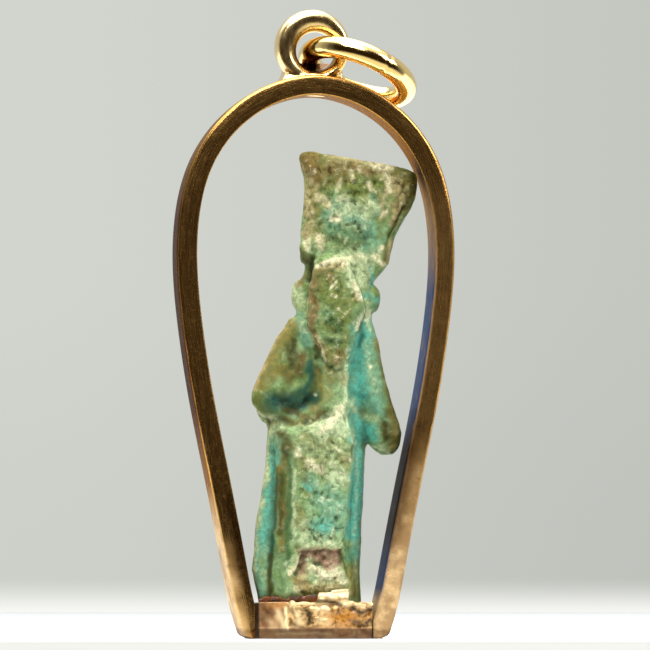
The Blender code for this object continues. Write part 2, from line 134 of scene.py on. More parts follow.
@dataclass(frozen=True)
class Viewpoint:
    """The photograph's camera: a long lens, low down, a little to the left of the amulet's back.

    The picture is taken to be 650 pixels square, and one pixel is `pixel_mm` at the figure.
    """

    azimuth: float = -6.0
    distance_mm: float = 400.0
    height_mm: float = 3.0
    pixel_mm: float = 0.048
    axis_column: float = 313.2
    ground_row: float = 638.0
    middle: float = 325.0
    sensor_mm: float = 36.0

    def axes(self) -> tuple[Array, Array]:
        """Directions to the right and away from the camera, both level."""
        turn = math.radians(self.azimuth)
        right = np.array([math.cos(turn), math.sin(turn), 0.0])
        away = np.array([-math.sin(turn), math.cos(turn), 0.0])
        return right, away

    def aim(self) -> Array:
        """The point in mm that lies in the middle of the picture."""
        right, _ = self.axes()
        axis = np.array([0.0, band_middle(), 0.0])
        up = np.array([0.0, 0.0, (self.ground_row - self.middle) * self.pixel_mm])
        return axis + right * (self.middle - self.axis_column) * self.pixel_mm + up

    def place(self) -> Array:
        """The camera's place in mm."""
        _, away = self.axes()
        spot = self.aim() - away * self.distance_mm
        spot[2] = self.height_mm
        return spot

    def pixels(self, points: Array) -> Array:
        """Columns and rows in the picture where points in mm land."""
        spot, aim = self.place(), self.aim()
        forward = (aim - spot) / np.linalg.norm(aim - spot)
        right, _ = self.axes()
        up = np.cross(right, forward)
        offset = points - spot
        scale = np.linalg.norm(aim - spot) / (offset @ forward) / self.pixel_mm
        return np.column_stack([self.middle + offset @ right * scale, self.middle - offset @ up * scale])

    def build(self) -> Object:
        """Make the scene's camera."""
        data = bpy.data.cameras.new("camera")
        spot, aim = self.place(), self.aim()
        reach = float(np.linalg.norm(aim - spot))
        data.sensor_width = self.sensor_mm
        data.lens = self.sensor_mm * reach / (PICTURE_SIDE * self.pixel_mm)
        data.clip_start = 0.01
        data.clip_end = 20.0
        camera = bpy.data.objects.new("camera", data)
        camera.location = tuple(spot * MM)
        camera.rotation_euler = Vector(tuple(aim - spot)).to_track_quat("-Z", "Y").to_euler()
        bpy.context.scene.collection.objects.link(camera)
        bpy.context.scene.camera = camera
        return camera


VIEW = Viewpoint()


def put(tree: Tree, kind: str, links: dict[Any, Any], out: Any = 0, **settings: Any) -> Socket:
    """Add a shader node.

    Args:
        tree: Node tree that takes the node.
        kind: Blender's type name without the ShaderNode prefix.
        links: Input name or number to a socket to link from, or to a plain value.
        out: Name or number of the output to give back.
        settings: Attributes of the node.

    Returns:
        The asked output of the new node.
    """
    node = tree.nodes.new("ShaderNode" + kind)
    for name, value in settings.items():
        setattr(node, name, value)
    feed(node, links)
    return node.outputs[out]


def feed(node: bpy.types.Node, inputs: dict[Any, Any]) -> None:
    """Link each input that gets a socket, and set each one that gets a value."""
    for name, value in inputs.items():
        if isinstance(value, Socket):
            node.id_data.links.new(value, node.inputs[name])
        else:
            node.inputs[name].default_value = value


def new_material(name: str, weights: Sequence[str] = ()) -> tuple[Any, ...]:
    """Start a node material.

    Args:
        name: The material's name.
        weights: Names of the weights that it reads from a piece's points.

    Returns:
        The material, put for its tree, its shader, the shaded place in mm, and a socket for each weight.
    """
    material = bpy.data.materials.new(name)
    material.use_nodes = True
    add = partial(put, material.node_tree)
    place = add("VectorMath", {0: add("TexCoord", {}, "Object"), 1: (1 / MM,) * 3}, **TIMES)
    read = [add("Attribute", {}, "Fac", attribute_name=weight) for weight in weights]
    return material, add, material.node_tree.nodes["Principled BSDF"], place, *read


class Tone(Enum):
    """Tones of the worn glaze, each laid over the ones before it: sRGB colour, blotch size in mm, raggedness."""

    SEA_GREEN = ("#74A88A", 0.8, 0.5)
    GRASS = ("#717E3B", 0.45, 0.7)
    OLIVE = ("#82783A", 0.50, 0.7)
    FOREST = ("#45663A", 0.45, 0.5)
    TURQUOISE = ("#58B2A2", 0.50, 0.5)
    PALE = ("#C4D6A8", 0.22, 0.65)
    STRAW = ("#B8AC7C", 0.30, 0.7)
    TEAL = ("#0B4740", 0.45, 0.4)
    BROWN = ("#82693C", 0.25, 0.55)
    BARK = ("#4A4716", 0.30, 0.5)
    MAUVE = ("#A27E68", 0.22, 0.4)
    CREAM = ("#EFE8C2", 0.14, 0.6)


@dataclass(frozen=True)
class WornFaience:
    """Glazed composition fired with copper: glassy where it pooled, chalky and pitted where it is rubbed bare.

    The eye gets soft blue-green glass in the hollows, olive and brown stains on the edges, and a crust of pale
    and dark grains on the bare back. The hollows are darkened further as painted shade, and the grains' pale tops
    and dark pits are partly their own colour, partly painted highlight and painted shade.
    """

    name: str = "faience"
    grain_mm: float = 0.20
    glaze_roughness: float = 0.50
    bare_roughness: float = 0.85
    index: float = 1.50
    sheen: float = 0.2

    def build(self) -> Material:
        """Make the glaze from the weights on the figure's points.

        Returns:
            The material.
        """
        marks = ("bare", "hollow", "lump")
        material, add, shader, place, bare, hollow, lump = new_material(self.name, marks)
        smear = add("TexNoise", {"Vector": place, "Scale": 2.2, "Detail": 3.0}, "Color")
        smear = add("VectorMath", {0: smear, 1: (0.5, 0.5, 0.5)}, operation="SUBTRACT")
        smear = add("VectorMath", {0: smear, 3: 0.55}, operation="SCALE")
        bent = add("VectorMath", {0: place, 1: smear}, operation="ADD")
        clouds = add("TexNoise", {"Vector": bent, "Scale": 1.0, "Detail": 5.0, "Roughness": 0.62})
        grit = add("TexNoise", {"Vector": bent, "Scale": 1 / self.grain_mm, "Detail": 3.0, "Roughness": 0.6})
        shade = add("MapRange", {0: clouds, 1: 0.33, 2: 0.67}, **SMOOTH)
        colour = add("Mix", {0: shade, 6: linear("#708C50"), 7: linear("#96B582")}, **COLOURS)
        broken = add("MapRange", {0: grit, 1: 0.38, 2: 0.56, 3: 0.72, 4: 1.0}, **SMOOTH)
        for number, tone in enumerate(Tone):
            tint, blotch, ragged = tone.value
            shift = add("VectorMath", {0: bent, 1: (7.3 * number, 3.1 * number, 0.0)}, operation="ADD")
            drift = add("TexNoise", {"Vector": shift, "Scale": 1 / blotch, "Detail": 4.0, "Roughness": 0.62})
            drift = add("Math", {0: drift, 1: -0.5}, operation="ADD")
            weight = add("Attribute", {}, "Fac", attribute_name=tone.name.lower())
            edge = add("Math", {0: drift, 1: 1.3 * ragged, 2: weight}, **TIMES_PLUS)
            cover = add("MapRange", {0: edge, 1: 0.0, 2: 0.95}, **SMOOTH)
            there = add("MapRange", {0: weight, 1: 0.0, 2: 0.30}, **SMOOTH)
            for part in (there, broken):
                cover = add("Math", {0: cover, 1: part}, **TIMES)
            colour = add("Mix", {0: cover, 6: colour, 7: linear(tint)}, **COLOURS)
        # pale tops and dark pits of the bare crust's grains: partly their own colour, partly painted highlight
        # and painted shade that follow the grain bumps
        coarse = 0.62 / self.grain_mm
        crumbs = add("TexNoise", {"Vector": bent, "Scale": coarse, "Detail": 5.0, "Roughness": 0.74})
        crumbs = add("Math", {0: lump, 1: 0.13, 2: crumbs}, **TIMES_PLUS)
        for low, high, share, tint, how in (
            (0.55, 0.78, 0.78, "#E9E7C4", "MIX"),
            (0.48, 0.28, 0.85, "#6A6430", "MULTIPLY"),
        ):
            chosen = add("MapRange", {0: crumbs, 1: low, 2: high}, **SMOOTH)
            for part in (bare, share):
                chosen = add("Math", {0: chosen, 1: part}, **TIMES)
            colour = add("Mix", {0: chosen, 6: colour, 7: linear(tint)}, **COLOURS, blend_type=how)
        dust = add("MapRange", {0: grit, 1: 0.36, 2: 0.64, 3: 0.74, 4: 1.16}, **SMOOTH)
        dust = add("CombineColor", {0: dust, 1: dust, 2: dust})
        colour = add("Mix", {0: 0.85, 6: colour, 7: dust}, **TINTED)
        # painted shade: every tone is darkened towards olive in the hollows
        deep = add("Math", {0: hollow, 1: 0.6}, **TIMES)
        colour = add("Mix", {0: deep, 6: colour, 7: linear("#4E5A38")}, **TINTED)
        rough = add("MapRange", {0: bare, 3: self.glaze_roughness, 4: self.bare_roughness})
        stir = add("Math", {0: grit, 1: -0.5}, operation="ADD")
        rough = add("Math", {0: stir, 1: 0.4, 2: rough}, use_clamp=True, **TIMES_PLUS)
        relief = add("Math", {0: crumbs, 1: 1.2, 2: grit}, **TIMES_PLUS)
        amount = add("Math", {0: bare, 1: 0.8, 2: 0.2}, **TIMES_PLUS)
        relief = add("Math", {0: relief, 1: amount}, **TIMES)
        bump = add("Bump", {"Height": relief, "Distance": 0.06 * MM, "Strength": 0.9})
        feed(shader, {"Base Color": colour, "Roughness": rough, "Normal": bump, "IOR": self.index,
                      "Specular IOR Level": self.sheen})
        return material


@dataclass(frozen=True)
class WornGold:
    """Low-carat gold, hammered and filed by hand: soft mirror, fine rubbing marks, brown dirt in the pits.

    The eye gets a dark face where it mirrors the dark room, bright edges, and freckles near the foot.
    """

    name: str
    colour: str
    dirt: str
    roughness: float
    freckles: float
    foot_mm: float = 12.0
    dull: str = "#ECCA96"
    edge: str = "#FFFFFF"
    brushed: bool = False

    def build(self) -> Material:
        """Make the metal.

        Returns:
            The material.
        """
        marks = ("run", "across", "frost", "stain", "grime_and_shade")
        material, add, shader, place, run, across, frost, stain, grime_and_shade = new_material(self.name, marks)
        clouds = add("TexNoise", {"Vector": place, "Scale": 0.8, "Detail": 5.0, "Roughness": 0.6})
        spots = add("TexNoise", {"Vector": place, "Scale": 3.6, "Detail": 5.0, "Roughness": 0.68})
        height = add("SeparateXYZ", {0: place}, "Z")
        low = add("MapRange", {0: height, 1: self.foot_mm, 2: 1.0, 3: 0.35, 4: 1.0}, **SMOOTH)
        drawn = add("Mapping", {"Vector": place, "Scale": (0.4, 0.4, 0.14)})
        if self.brushed:
            depth = add("SeparateXYZ", {0: place}, "Y")
            slow = add("Math", {0: run, 1: 0.07}, **TIMES)
            drawn = add("CombineXYZ", {0: slow, 1: across, 2: depth})
        rubs = add("TexNoise", {"Vector": drawn, "Scale": 14.0, "Detail": 2.0})
        speck = add("MapRange", {0: spots, 1: 0.45, 2: 0.70, 4: 0.60}, **SMOOTH)
        dirt = add("MapRange", {0: spots, 1: 0.53, 2: 0.68}, **SMOOTH)
        for part in (low, self.freckles):
            dirt = add("Math", {0: dirt, 1: part}, **TIMES)
        film = add("MapRange", {0: clouds, 1: 0.42, 2: 0.72, 4: 0.45 * self.freckles})
        film = add("Math", {0: film, 1: dirt}, operation="MAXIMUM")
        colour = add("Mix", {0: film, 6: linear(self.colour), 7: linear(self.dirt)}, **COLOURS)
        worn = add("MapRange", {0: clouds, 1: 0.36, 2: 0.62, 3: 0.0, 4: 0.65}, **SMOOTH)
        stipple = add("TexNoise", {"Vector": place, "Scale": 7.0, "Detail": 4.0, "Roughness": 0.7})
        stipple = add("MapRange", {0: stipple, 1: 0.48, 2: 0.72, 4: 0.45}, **SMOOTH)
        for part in (speck, stipple):
            worn = add("Math", {0: part, 1: worn}, operation="MAXIMUM")
        dulled = add("Mix", {0: worn, 6: linear(self.dull), 7: linear("#744C24")}, **COLOURS)
        for weight, tint, how in ((frost, dulled, COLOURS), (stain, linear("#0B3A68"), COLOURS),
                                  (grime_and_shade, linear("#6A5240"), TINTED)):
            colour = add("Mix", {0: weight, 6: colour, 7: tint}, **how)
        metal = add("MapRange", {0: frost, 3: 1.0, 4: 0.35})
        metal = add("Math", {0: metal, 1: stain}, operation="SUBTRACT", use_clamp=True)
        rough = add("Math", {0: rubs, 1: 0.16, 2: self.roughness - 0.08}, **TIMES_PLUS)
        for part, share in ((dirt, 0.30), (frost, 0.22), (stain, 0.8)):
            rough = add("Math", {0: part, 1: share, 2: rough}, use_clamp=True, **TIMES_PLUS)
        relief = add("Math", {0: spots, 1: -0.8, 2: rubs}, **TIMES_PLUS)
        relief = add("Math", {0: clouds, 1: 1.5, 2: relief}, **TIMES_PLUS)
        strength = 0.45 if self.brushed else 0.22
        bump = add("Bump", {"Height": relief, "Distance": 0.025 * MM, "Strength": strength})
        feed(shader, {"Base Color": colour, "Metallic": metal, "Roughness": rough, "Normal": bump,
                      "Specular Tint": linear(self.edge)})
        return material


@dataclass(frozen=True)
class SolderedGold:
    """Gold plate under spilled solder and old resin, fused by a torch: part bright lumps, part brown skin.

    The eye gets a smooth reddish plate beside a crust with pale crests painted as highlights, an amber stain, and
    dirt with painted shade.
    """

    name: str = "soldered_gold"

    def build(self) -> Material:
        """Make the metal with its crust and its stain.

        Returns:
            The material.
        """
        marks = ("crust", "crest_highlight", "amber", "grime_and_shade")
        material, add, shader, place, crust, crest_highlight, amber, grime_and_shade = new_material(self.name, marks)
        lumps = add("TexNoise", {"Vector": place, "Scale": 2.0, "Detail": 4.0, "Roughness": 0.6})
        spots = add("TexNoise", {"Vector": place, "Scale": 5.0, "Detail": 5.0, "Roughness": 0.7})
        smooth = add("MapRange", {0: lumps, 1: 0.38, 2: 0.66}, **SMOOTH)
        plate = add("Mix", {0: smooth, 6: linear("#B4865A"), 7: linear("#865A38")}, **COLOURS)
        speck = add("MapRange", {0: spots, 1: 0.44, 2: 0.64}, **SMOOTH)
        skin = add("Mix", {0: speck, 6: linear("#DDB478"), 7: linear("#7E5428")}, **COLOURS)
        stain = add("Mix", {0: speck, 6: linear("#BA7E2E"), 7: linear("#7C4C14")}, **COLOURS)
        colour = plate
        for weight, tint, how in ((crust, skin, COLOURS), (crest_highlight, linear("#F6DFAC"), COLOURS),
                                  (amber, stain, COLOURS), (grime_and_shade, linear("#4E4C3A"), TINTED)):
            colour = add("Mix", {0: weight, 6: colour, 7: tint}, **how)
        metal = add("MapRange", {0: crust, 3: 0.40, 4: 0.70})
        for part, share in ((amber, -0.7), (crest_highlight, -0.45)):
            metal = add("Math", {0: part, 1: share, 2: metal}, use_clamp=True, **TIMES_PLUS)
        rough = add("Math", {0: crust, 1: -0.04, 2: 0.26}, **TIMES_PLUS)
        height = add("Math", {0: spots, 1: crust}, **TIMES)
        bump = add("Bump", {"Height": height, "Distance": 0.05 * MM, "Strength": 0.6})
        feed(shader, {"Base Color": colour, "Metallic": metal, "Roughness": rough, "Normal": bump})
        return material


@dataclass(frozen=True)
class AgedResin:
    """Shellac-like cement, run in hot and darkened with age: a glossy amber skin with dust in it."""

    name: str = "amber_resin"

    def build(self) -> Material:
        """Make the resin."""
        material, add, shader, place = new_material(self.name)
        mottle = add("TexNoise", {"Vector": place, "Scale": 3.2, "Detail": 4.0})
        mix = add("MapRange", {0: mottle, 1: 0.4, 2: 0.65}, **SMOOTH)
        colour = add("Mix", {0: mix, 6: linear("#6A3812"), 7: linear("#1E120A")}, **COLOURS)
        bump = add("Bump", {"Height": mottle, "Distance": 0.06 * MM, "Strength": 0.6})
        feed(shader, {"Base Color": colour, "Roughness": 0.3, "IOR": 1.54, "Normal": bump})
        return material


def tube_faces(rings: int, count: int, closed: bool) -> list[tuple[int, ...]]:
    """Quads between successive rings of points.

    Args:
        rings: Number of rings.
        count: Points in a ring.
        closed: Whether the last ring joins the first; if not, both ends are capped.

    Returns:
        The faces as point numbers.
    """
    faces: list[tuple[int, ...]] = []
    for i in range(rings if closed else rings - 1):
        a, b = i * count, (i + 1) % rings * count
        faces += [(a + k, a + (k + 1) % count, b + (k + 1) % count, b + k) for k in range(count)]
    if not closed:
        faces += [tuple(range(count))[::-1], tuple((rings - 1) * count + k for k in range(count))]
    return faces


def add_piece(name: str, points_mm: Array, faces: Sequence[tuple[int, ...]],
              material: Material | None) -> Object:
    """Make a smooth mesh piece from points in mm.

    Args:
        name: The piece's name.
        points_mm: Positions in mm in the frame.
        faces: Faces as point numbers.
        material: Its finish.

    Returns:
        The new object.
    """
    mesh = bpy.data.meshes.new(name)
    mesh.from_pydata([tuple(p) for p in (points_mm * MM).tolist()], [], [tuple(f) for f in faces])
    shape = bmesh.new()
    shape.from_mesh(mesh)
    bmesh.ops.recalc_face_normals(shape, faces=shape.faces)
    shape.to_mesh(mesh)
    shape.free()
    mesh.shade_smooth()
    if material:
        mesh.materials.append(material)
    piece = bpy.data.objects.new(name, mesh)
    bpy.context.scene.collection.objects.link(piece)
    return piece


def settle(piece: Object, slot: str, *nodes: str) -> Object:
    """Let a piece stand for CAD nodes on the one body."""
    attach(piece, "root")
    if nodes:
        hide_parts(*nodes)
    LOG.info("%s: %d faces", piece.name, len(piece.data.polygons))
    return piece


def mesh_arrays(mesh: Mesh) -> tuple[Array, Array]:
    """Points and edges of a mesh as arrays."""
    flat = np.empty(len(mesh.vertices) * 3, np.float32)
    mesh.vertices.foreach_get("co", flat)
    ends = np.empty(len(mesh.edges) * 2, np.int32)
    mesh.edges.foreach_get("vertices", ends)
    return flat.reshape(-1, 3).astype(float), ends.reshape(-1, 2)


def point_normals(mesh: Mesh) -> Array:
    """Point normals of a mesh."""
    flat = np.empty(len(mesh.vertices) * 3, np.float32)
    mesh.vertex_normals.foreach_get("vector", flat)
    return flat.reshape(-1, 3).astype(float)


def eased(points: Array, edges: Array, passes: int) -> Array:
    """Move each point halfway to the mean of its neighbours, in as many passes as asked."""
    size = len(points)
    count = np.maximum(np.bincount(edges.ravel(), minlength=size), 1)[:, None]
    for _ in range(passes):
        total = np.empty_like(points)
        for k in range(points.shape[1]):
            total[:, k] = np.bincount(edges[:, 0], points[edges[:, 1], k], size)
            total[:, k] += np.bincount(edges[:, 1], points[edges[:, 0], k], size)
        points = 0.5 * points + 0.5 * total / count
    return points


def box_form(low: Sequence[float], high: Sequence[float]) -> Form:
    """A box as points and faces, from its lowest and its highest corner."""
    points = [(x, y, z) for z in (low[2], high[2]) for y in (low[1], high[1]) for x in (low[0], high[0])]
    return points, [(0, 2, 3, 1), (4, 5, 7, 6), (0, 1, 5, 4), (2, 6, 7, 3), (0, 4, 6, 2), (1, 3, 7, 5)]


def egg_form(centre: Sequence[float], half: Sequence[float]) -> Form:
    """An egg-shaped form as points and faces, from its centre and its half sizes."""
    shape = bmesh.new()
    bmesh.ops.create_uvsphere(shape, u_segments=32, v_segments=20, radius=1.0)
    points = [tuple(np.array(centre) + np.array(half) * np.array(v.co)) for v in shape.verts]
    faces = [tuple(v.index for v in face.verts) for face in shape.faces]
    shape.free()
    return points, faces


def joined(forms: Sequence[Form]) -> tuple[Array, list[tuple[int, ...]]]:
    """Several forms in one list of points and one of faces."""
    points: list[Any] = []
    faces: list[tuple[int, ...]] = []
    for form_points, form_faces in forms:
        start = len(points)
        faces += [tuple(start + k for k in face) for face in form_faces]
        points += form_points
    return np.array(points, float), faces


def grown_skin(points: Array, faces: Sequence[tuple[int, ...]], voxel: float,
               passes: int) -> tuple[Mesh, Array, Array, Array]:
    """Grow overlapping forms into one closed, eased skin.

    Args:
        points: Their points in mm.
        faces: Their faces.
        voxel: Size of the skin's cells in mm.
        passes: How many times the skin is eased.

    Returns:
        The fine mesh in mm, its points, its edges and its point normals.
    """
    holder = add_piece("skin_work", points / MM, faces, None)
    skin = holder.modifiers.new("skin", "REMESH")
    skin.mode = "VOXEL"
    skin.voxel_size = voxel
    graph = bpy.context.evaluated_depsgraph_get()
    fine = bpy.data.meshes.new_from_object(holder.evaluated_get(graph))
    bpy.data.objects.remove(holder)
    rough, edges = mesh_arrays(fine)
    soft = eased(rough, edges, passes)
    fine.vertices.foreach_set("co", soft.ravel().astype(np.float32))
    fine.update()
    return fine, soft, edges, point_normals(fine)


def add_weights(mesh: Mesh, weights: dict[str, Array]) -> None:
    """Store a mesh's point weights under the names that its material reads."""
    for name, values in weights.items():
        mesh.attributes.new(name, "FLOAT", "POINT").data.foreach_set("value", values.astype(np.float32))


def skin_piece(name: str, mesh: Mesh, points: Array, weights: dict[str, Array],
               material: Material) -> Object:
    """Turn a grown skin into a piece, with its points in mm, its material and the weights that it reads."""
    mesh.vertices.foreach_set("co", (points * MM).ravel().astype(np.float32))
    add_weights(mesh, weights)
    mesh.update()
    mesh.shade_smooth()
    mesh.materials.clear()
    mesh.materials.append(material)
    mesh.name = name
    piece = bpy.data.objects.new(name, mesh)
    bpy.context.scene.collection.objects.link(piece)
    return piece


def node_points(node: str) -> Array:
    """The points of a CAD node's mesh in mm."""
    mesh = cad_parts[node].data
    flat = np.empty(len(mesh.vertices) * 3, np.float32)
    mesh.vertices.foreach_get("co", flat)
    return flat.reshape(-1, 3).astype(float) / MM


def line_distance(spots: Array, line: Sequence[float]) -> Array:
    """Distance of each spot from a broken line, whose corners follow one another, in the spots' unit."""
    corners = np.reshape(line, (-1, 2)).astype(float)
    if len(corners) == 1:
        return np.linalg.norm(spots - corners[0], axis=1)
    best = np.full(len(spots), np.inf)
    for start, end in zip(corners[:-1], corners[1:]):
        along = end - start
        share = np.clip((spots - start) @ along / max(float(along @ along), 1e-9), 0.0, 1.0)
        best = np.minimum(best, np.linalg.norm(spots - start - share[:, None] * along, axis=1))
    return best


def field_depth(spots: Array, outline: Sequence[float]) -> Array:
    """How far inside an outline, given like a line, each spot lies: below zero outside it."""
    corners = np.reshape(outline, (-1, 2)).astype(float)
    inside = np.zeros(len(spots), bool)
    for start, end in zip(corners, np.roll(corners, -1, axis=0)):
        crosses = (start[1] > spots[:, 1]) != (end[1] > spots[:, 1])
        rise = end[1] - start[1] or 1e-9
        where = start[0] + (spots[:, 1] - start[1]) * (end[0] - start[0]) / rise
        inside ^= crosses & (spots[:, 0] < where)
    away = line_distance(spots, [*outline, *outline[:2]])
    return np.where(inside, away, -away)


# Rows of the lofted forms, in hundredths of the figure's height: level, left, right, back and front, then the
# crown's fall to the right. The pillar has left, right, both feet of its slopes and its back; the mane's front
# is level with the middle; round forms are a centre and half sizes; the legs are a level and a front.
TRUNK = (
    (0, -11.2, 9.8, -4.2, 4.2), (3.9, -11.9, 10.5, -4.3, 4.5), (7, -12.6, 10.3, -4.4, 5),
    (10.3, -13.1, 10.2, -4.3, 5.1), (16.8, -12.7, 10.3, -4, 5.3), (21, -12.2, 10.4, -3.9, 5.6),
    (25.3, -11.5, 10.7, -3.9, 5.9), (29.6, -10.9, 11, -3.9, 6.3), (33.9, -10.4, 11.1, -4, 6.8),
    (38.2, -10, 11.6, -4.1, 7.2), (42.5, -9.6, 12.4, -4.2, 7.3), (46.8, -8.9, 12.8, -4.3, 7.1),
    (51, -8.2, 12.8, -4.3, 6.7), (55.3, -7.2, 12.6, -4.2, 6.2), (59.6, -6, 12.4, -4, 5.6),
    (63.3, -4.4, 12.6, -3.8, 5), (65.2, -3.5, 12.7, -3.7, 4.8), (67.5, -3.3, 12.8, -3.7, 4.9),
    (71.4, -3, 12.7, -3.6, 4.8), (74.2, -2, 13.9, -3.4, 4.2), (76.3, -2, 15.2, -3.2, 3.8),
)
CROWN = (
    (72, -1.4, 13, -2.6, 3.4, 0.03), (74.6, -1.8, 15.4, -3.1, 3.8, 0.04),
    (76.3, -2.3, 16.5, -3.3, 3.8, 0.05), (78.9, -2.9, 17.1, -3.3, 3.7, 0.06),
    (82.1, -2.8, 17.7, -3.2, 3.6, 0.08), (86, -2.4, 19.7, -3.1, 3.6, 0.11),
    (89, -2.1, 21.2, -3.1, 3.8, 0.13), (92, -2.2, 22.2, -3.1, 4, 0.15),
    (94.6, -2.9, 22.6, -3.1, 4.1, 0.16), (96.4, -3.2, 22.5, -3, 4, 0.165),
    (97.3, -2.7, 22, -2.7, 3.7, 0.165), (97.8, -1.4, 20.4, -2.1, 3.1, 0.165),
)
PILLAR = (
    (0, -4.8, 7.6, -8.6, 8.4, -4.5), (4.3, -4.9, 7.8, -8.8, 8.8, -4.7), (8.2, -5.2, 8.2, -9, 9, -5.2),
    (11.6, -4.8, 7.4, -9, 8.4, -5.4), (14, -4.6, 6.8, -9, 7.8, -6.1), (18.9, -4.7, 6.9, -8.9, 7.9, -6.3),
    (23.2, -4.5, 7.4, -8.8, 8.2, -6.4), (31.8, -4, 8.3, -8.6, 9, -6.5), (37.1, -5.6, 8.5, -8.4, 9.2, -6.4),
    (39.9, -5.6, 8.2, -8, 9, -6.1), (42.9, -3.3, 7.7, -6.4, 8.6, -5.6), (48.9, -1.8, 7.1, -4.2, 8.2, -5.2),
    (55.3, -0.7, 7.9, -2.4, 9.2, -5.2), (60.6, -0.3, 9, -1.6, 10.2, -5.4),
)
MANE = (
    (53.4, 4.1, 6.2, -5.3), (55.3, 2.1, 7.3, -5.9), (58.5, 0.4, 8.4, -6.4), (61.8, -0.5, 9.2, -6.7),
    (64.3, -0.7, 9.9, -6.9), (66, -0.8, 10.5, -7), (68.2, -0.9, 9.9, -7), (72.5, -1, 8.6, -6.8),
    (75, -0.5, 7.9, -6.2), (76.3, 0.4, 7.3, -5.6), (77.4, 1.9, 6.2, -4.6),
)
LEFT_ARM = (
    (41.6, -8.9, -4.7, -3.2, 2.6), (42.7, -10.4, -2.2, -4, 3.4), (44.2, -12.1, 0, -4.5, 3.8),
    (45.5, -13.2, 1, -4.8, 3.9), (47.2, -13.4, 1, -4.9, 3.9), (50, -12.5, 0.8, -4.9, 3.8),
    (53.2, -11, 0.4, -4.8, 3.6), (56.4, -9.4, 0, -4.7, 3.5), (59.6, -7.9, -0.5, -4.5, 3.3),
    (62.4, -5.9, -1.6, -4, 3), (63.9, -5, -2.8, -3.2, 2.4),
)
RIGHT_ARM = (
    (35, 14.6, 17.2, -1.4, 1.8), (36, 13.1, 18.3, -2.2, 2.6), (37.3, 12, 18.9, -2.8, 3.2),
    (39.5, 11, 19.1, -3.3, 3.6), (42.5, 10.1, 18.2, -3.6, 3.8), (46.8, 9.4, 16.7, -3.8, 3.8),
    (51, 9, 15.4, -3.9, 3.7), (55.3, 9, 14.5, -3.9, 3.5), (58.5, 9.2, 14.1, -3.8, 3.3),
    (61.8, 9.7, 13.2, -3.6, 3), (63.5, 10.1, 12.5, -3, 2.4),
)
APRON = (
    (22, -6.5, 5.5, 2, 6.4), (24, -6.8, 6, 2, 7.3), (31, -4.8, 6.2, 2, 7.9),
    (38, -3, 6, 2, 8), (41, -6, 9, 2, 7.9), (43, -6, 9.2, 2, 7.6),
)
ROUND_FORMS = (
    ((-3.3, 0.2, 68.9), (1.5, 2, 3.3)), ((12.9, 0, 68.2), (1.5, 2, 3)),
    ((-1.6, -0.4, 77.6), (1.1, 2.2, 2.2)), ((4, 4.3, 68.8), (5.6, 3.4, 5.9)),
    ((4, 7.4, 68.9), (0.9, 1.3, 1.7)), ((4, 6.7, 71.6), (3.6, 1, 0.7)),
    ((1.7, 6.9, 67.6), (1.5, 1, 1.5)), ((6.3, 6.9, 67.6), (1.5, 1, 1.5)),
    ((4, 7.3, 65.9), (1.8, 0.9, 0.6)), ((4, 6.7, 64.2), (1.8, 1.4, 1.2)),
    ((-0.6, 4.8, 61.5), (2, 2.2, 6.5)), ((8.6, 4.8, 61.5), (2, 2.2, 6.5)),
    ((4, 4.6, 56), (6, 2.9, 4)), ((-7.6, 4.2, 41.5), (2.6, 2.6, 2.3)),
    ((11.6, 4, 39.5), (2.6, 2.6, 2.3)), ((-9.6, 2.6, 45), (2.8, 2.6, 3.6)),
    ((14.2, 2.4, 42), (2.8, 2.6, 3.6)),
)
LEGS = ((0.0, 4.3), (3.6, 4.5), (8.0, 5.6), (14.0, 6.1), (20.0, 6.6), (26.0, 6.6))

# Each row: height and width of the edge in hundredths of a mm, then the corners in pixels of an outlined field.
FIELDS: Rows = (
    (14, 12, 313, 273, 317, 266, 324, 261, 334, 259, 344, 262, 350, 272, 355, 285, 361, 300, 363, 310, 358, 323,
     354, 340, 349, 354, 345, 366, 337, 369, 328, 364, 320, 354, 315, 343, 311, 330, 309, 310, 308, 290, 310,
     280),
    (10, 10, 299, 432, 316, 422, 340, 414, 347, 425, 354, 445, 353, 480, 349, 500, 346, 530, 344, 549, 302, 549,
     293, 540, 294, 510, 298, 480, 297, 458, 290, 453, 280, 450, 280, 434),
    (-11, 10, 302, 551, 341, 550, 346, 559, 338, 566, 331, 570, 318, 566, 308, 561, 300, 571, 294, 576),
    (9, 8, 310, 563, 320, 567, 331, 572, 341, 566, 344, 574, 330, 580, 312, 576),
    (-7, 10, 301, 166, 312, 190, 311, 236, 300, 244),
    (-5.5, 9, 414, 186, 404, 207, 396, 224, 391, 236, 387, 262, 394, 262, 398, 240, 408, 216),
)

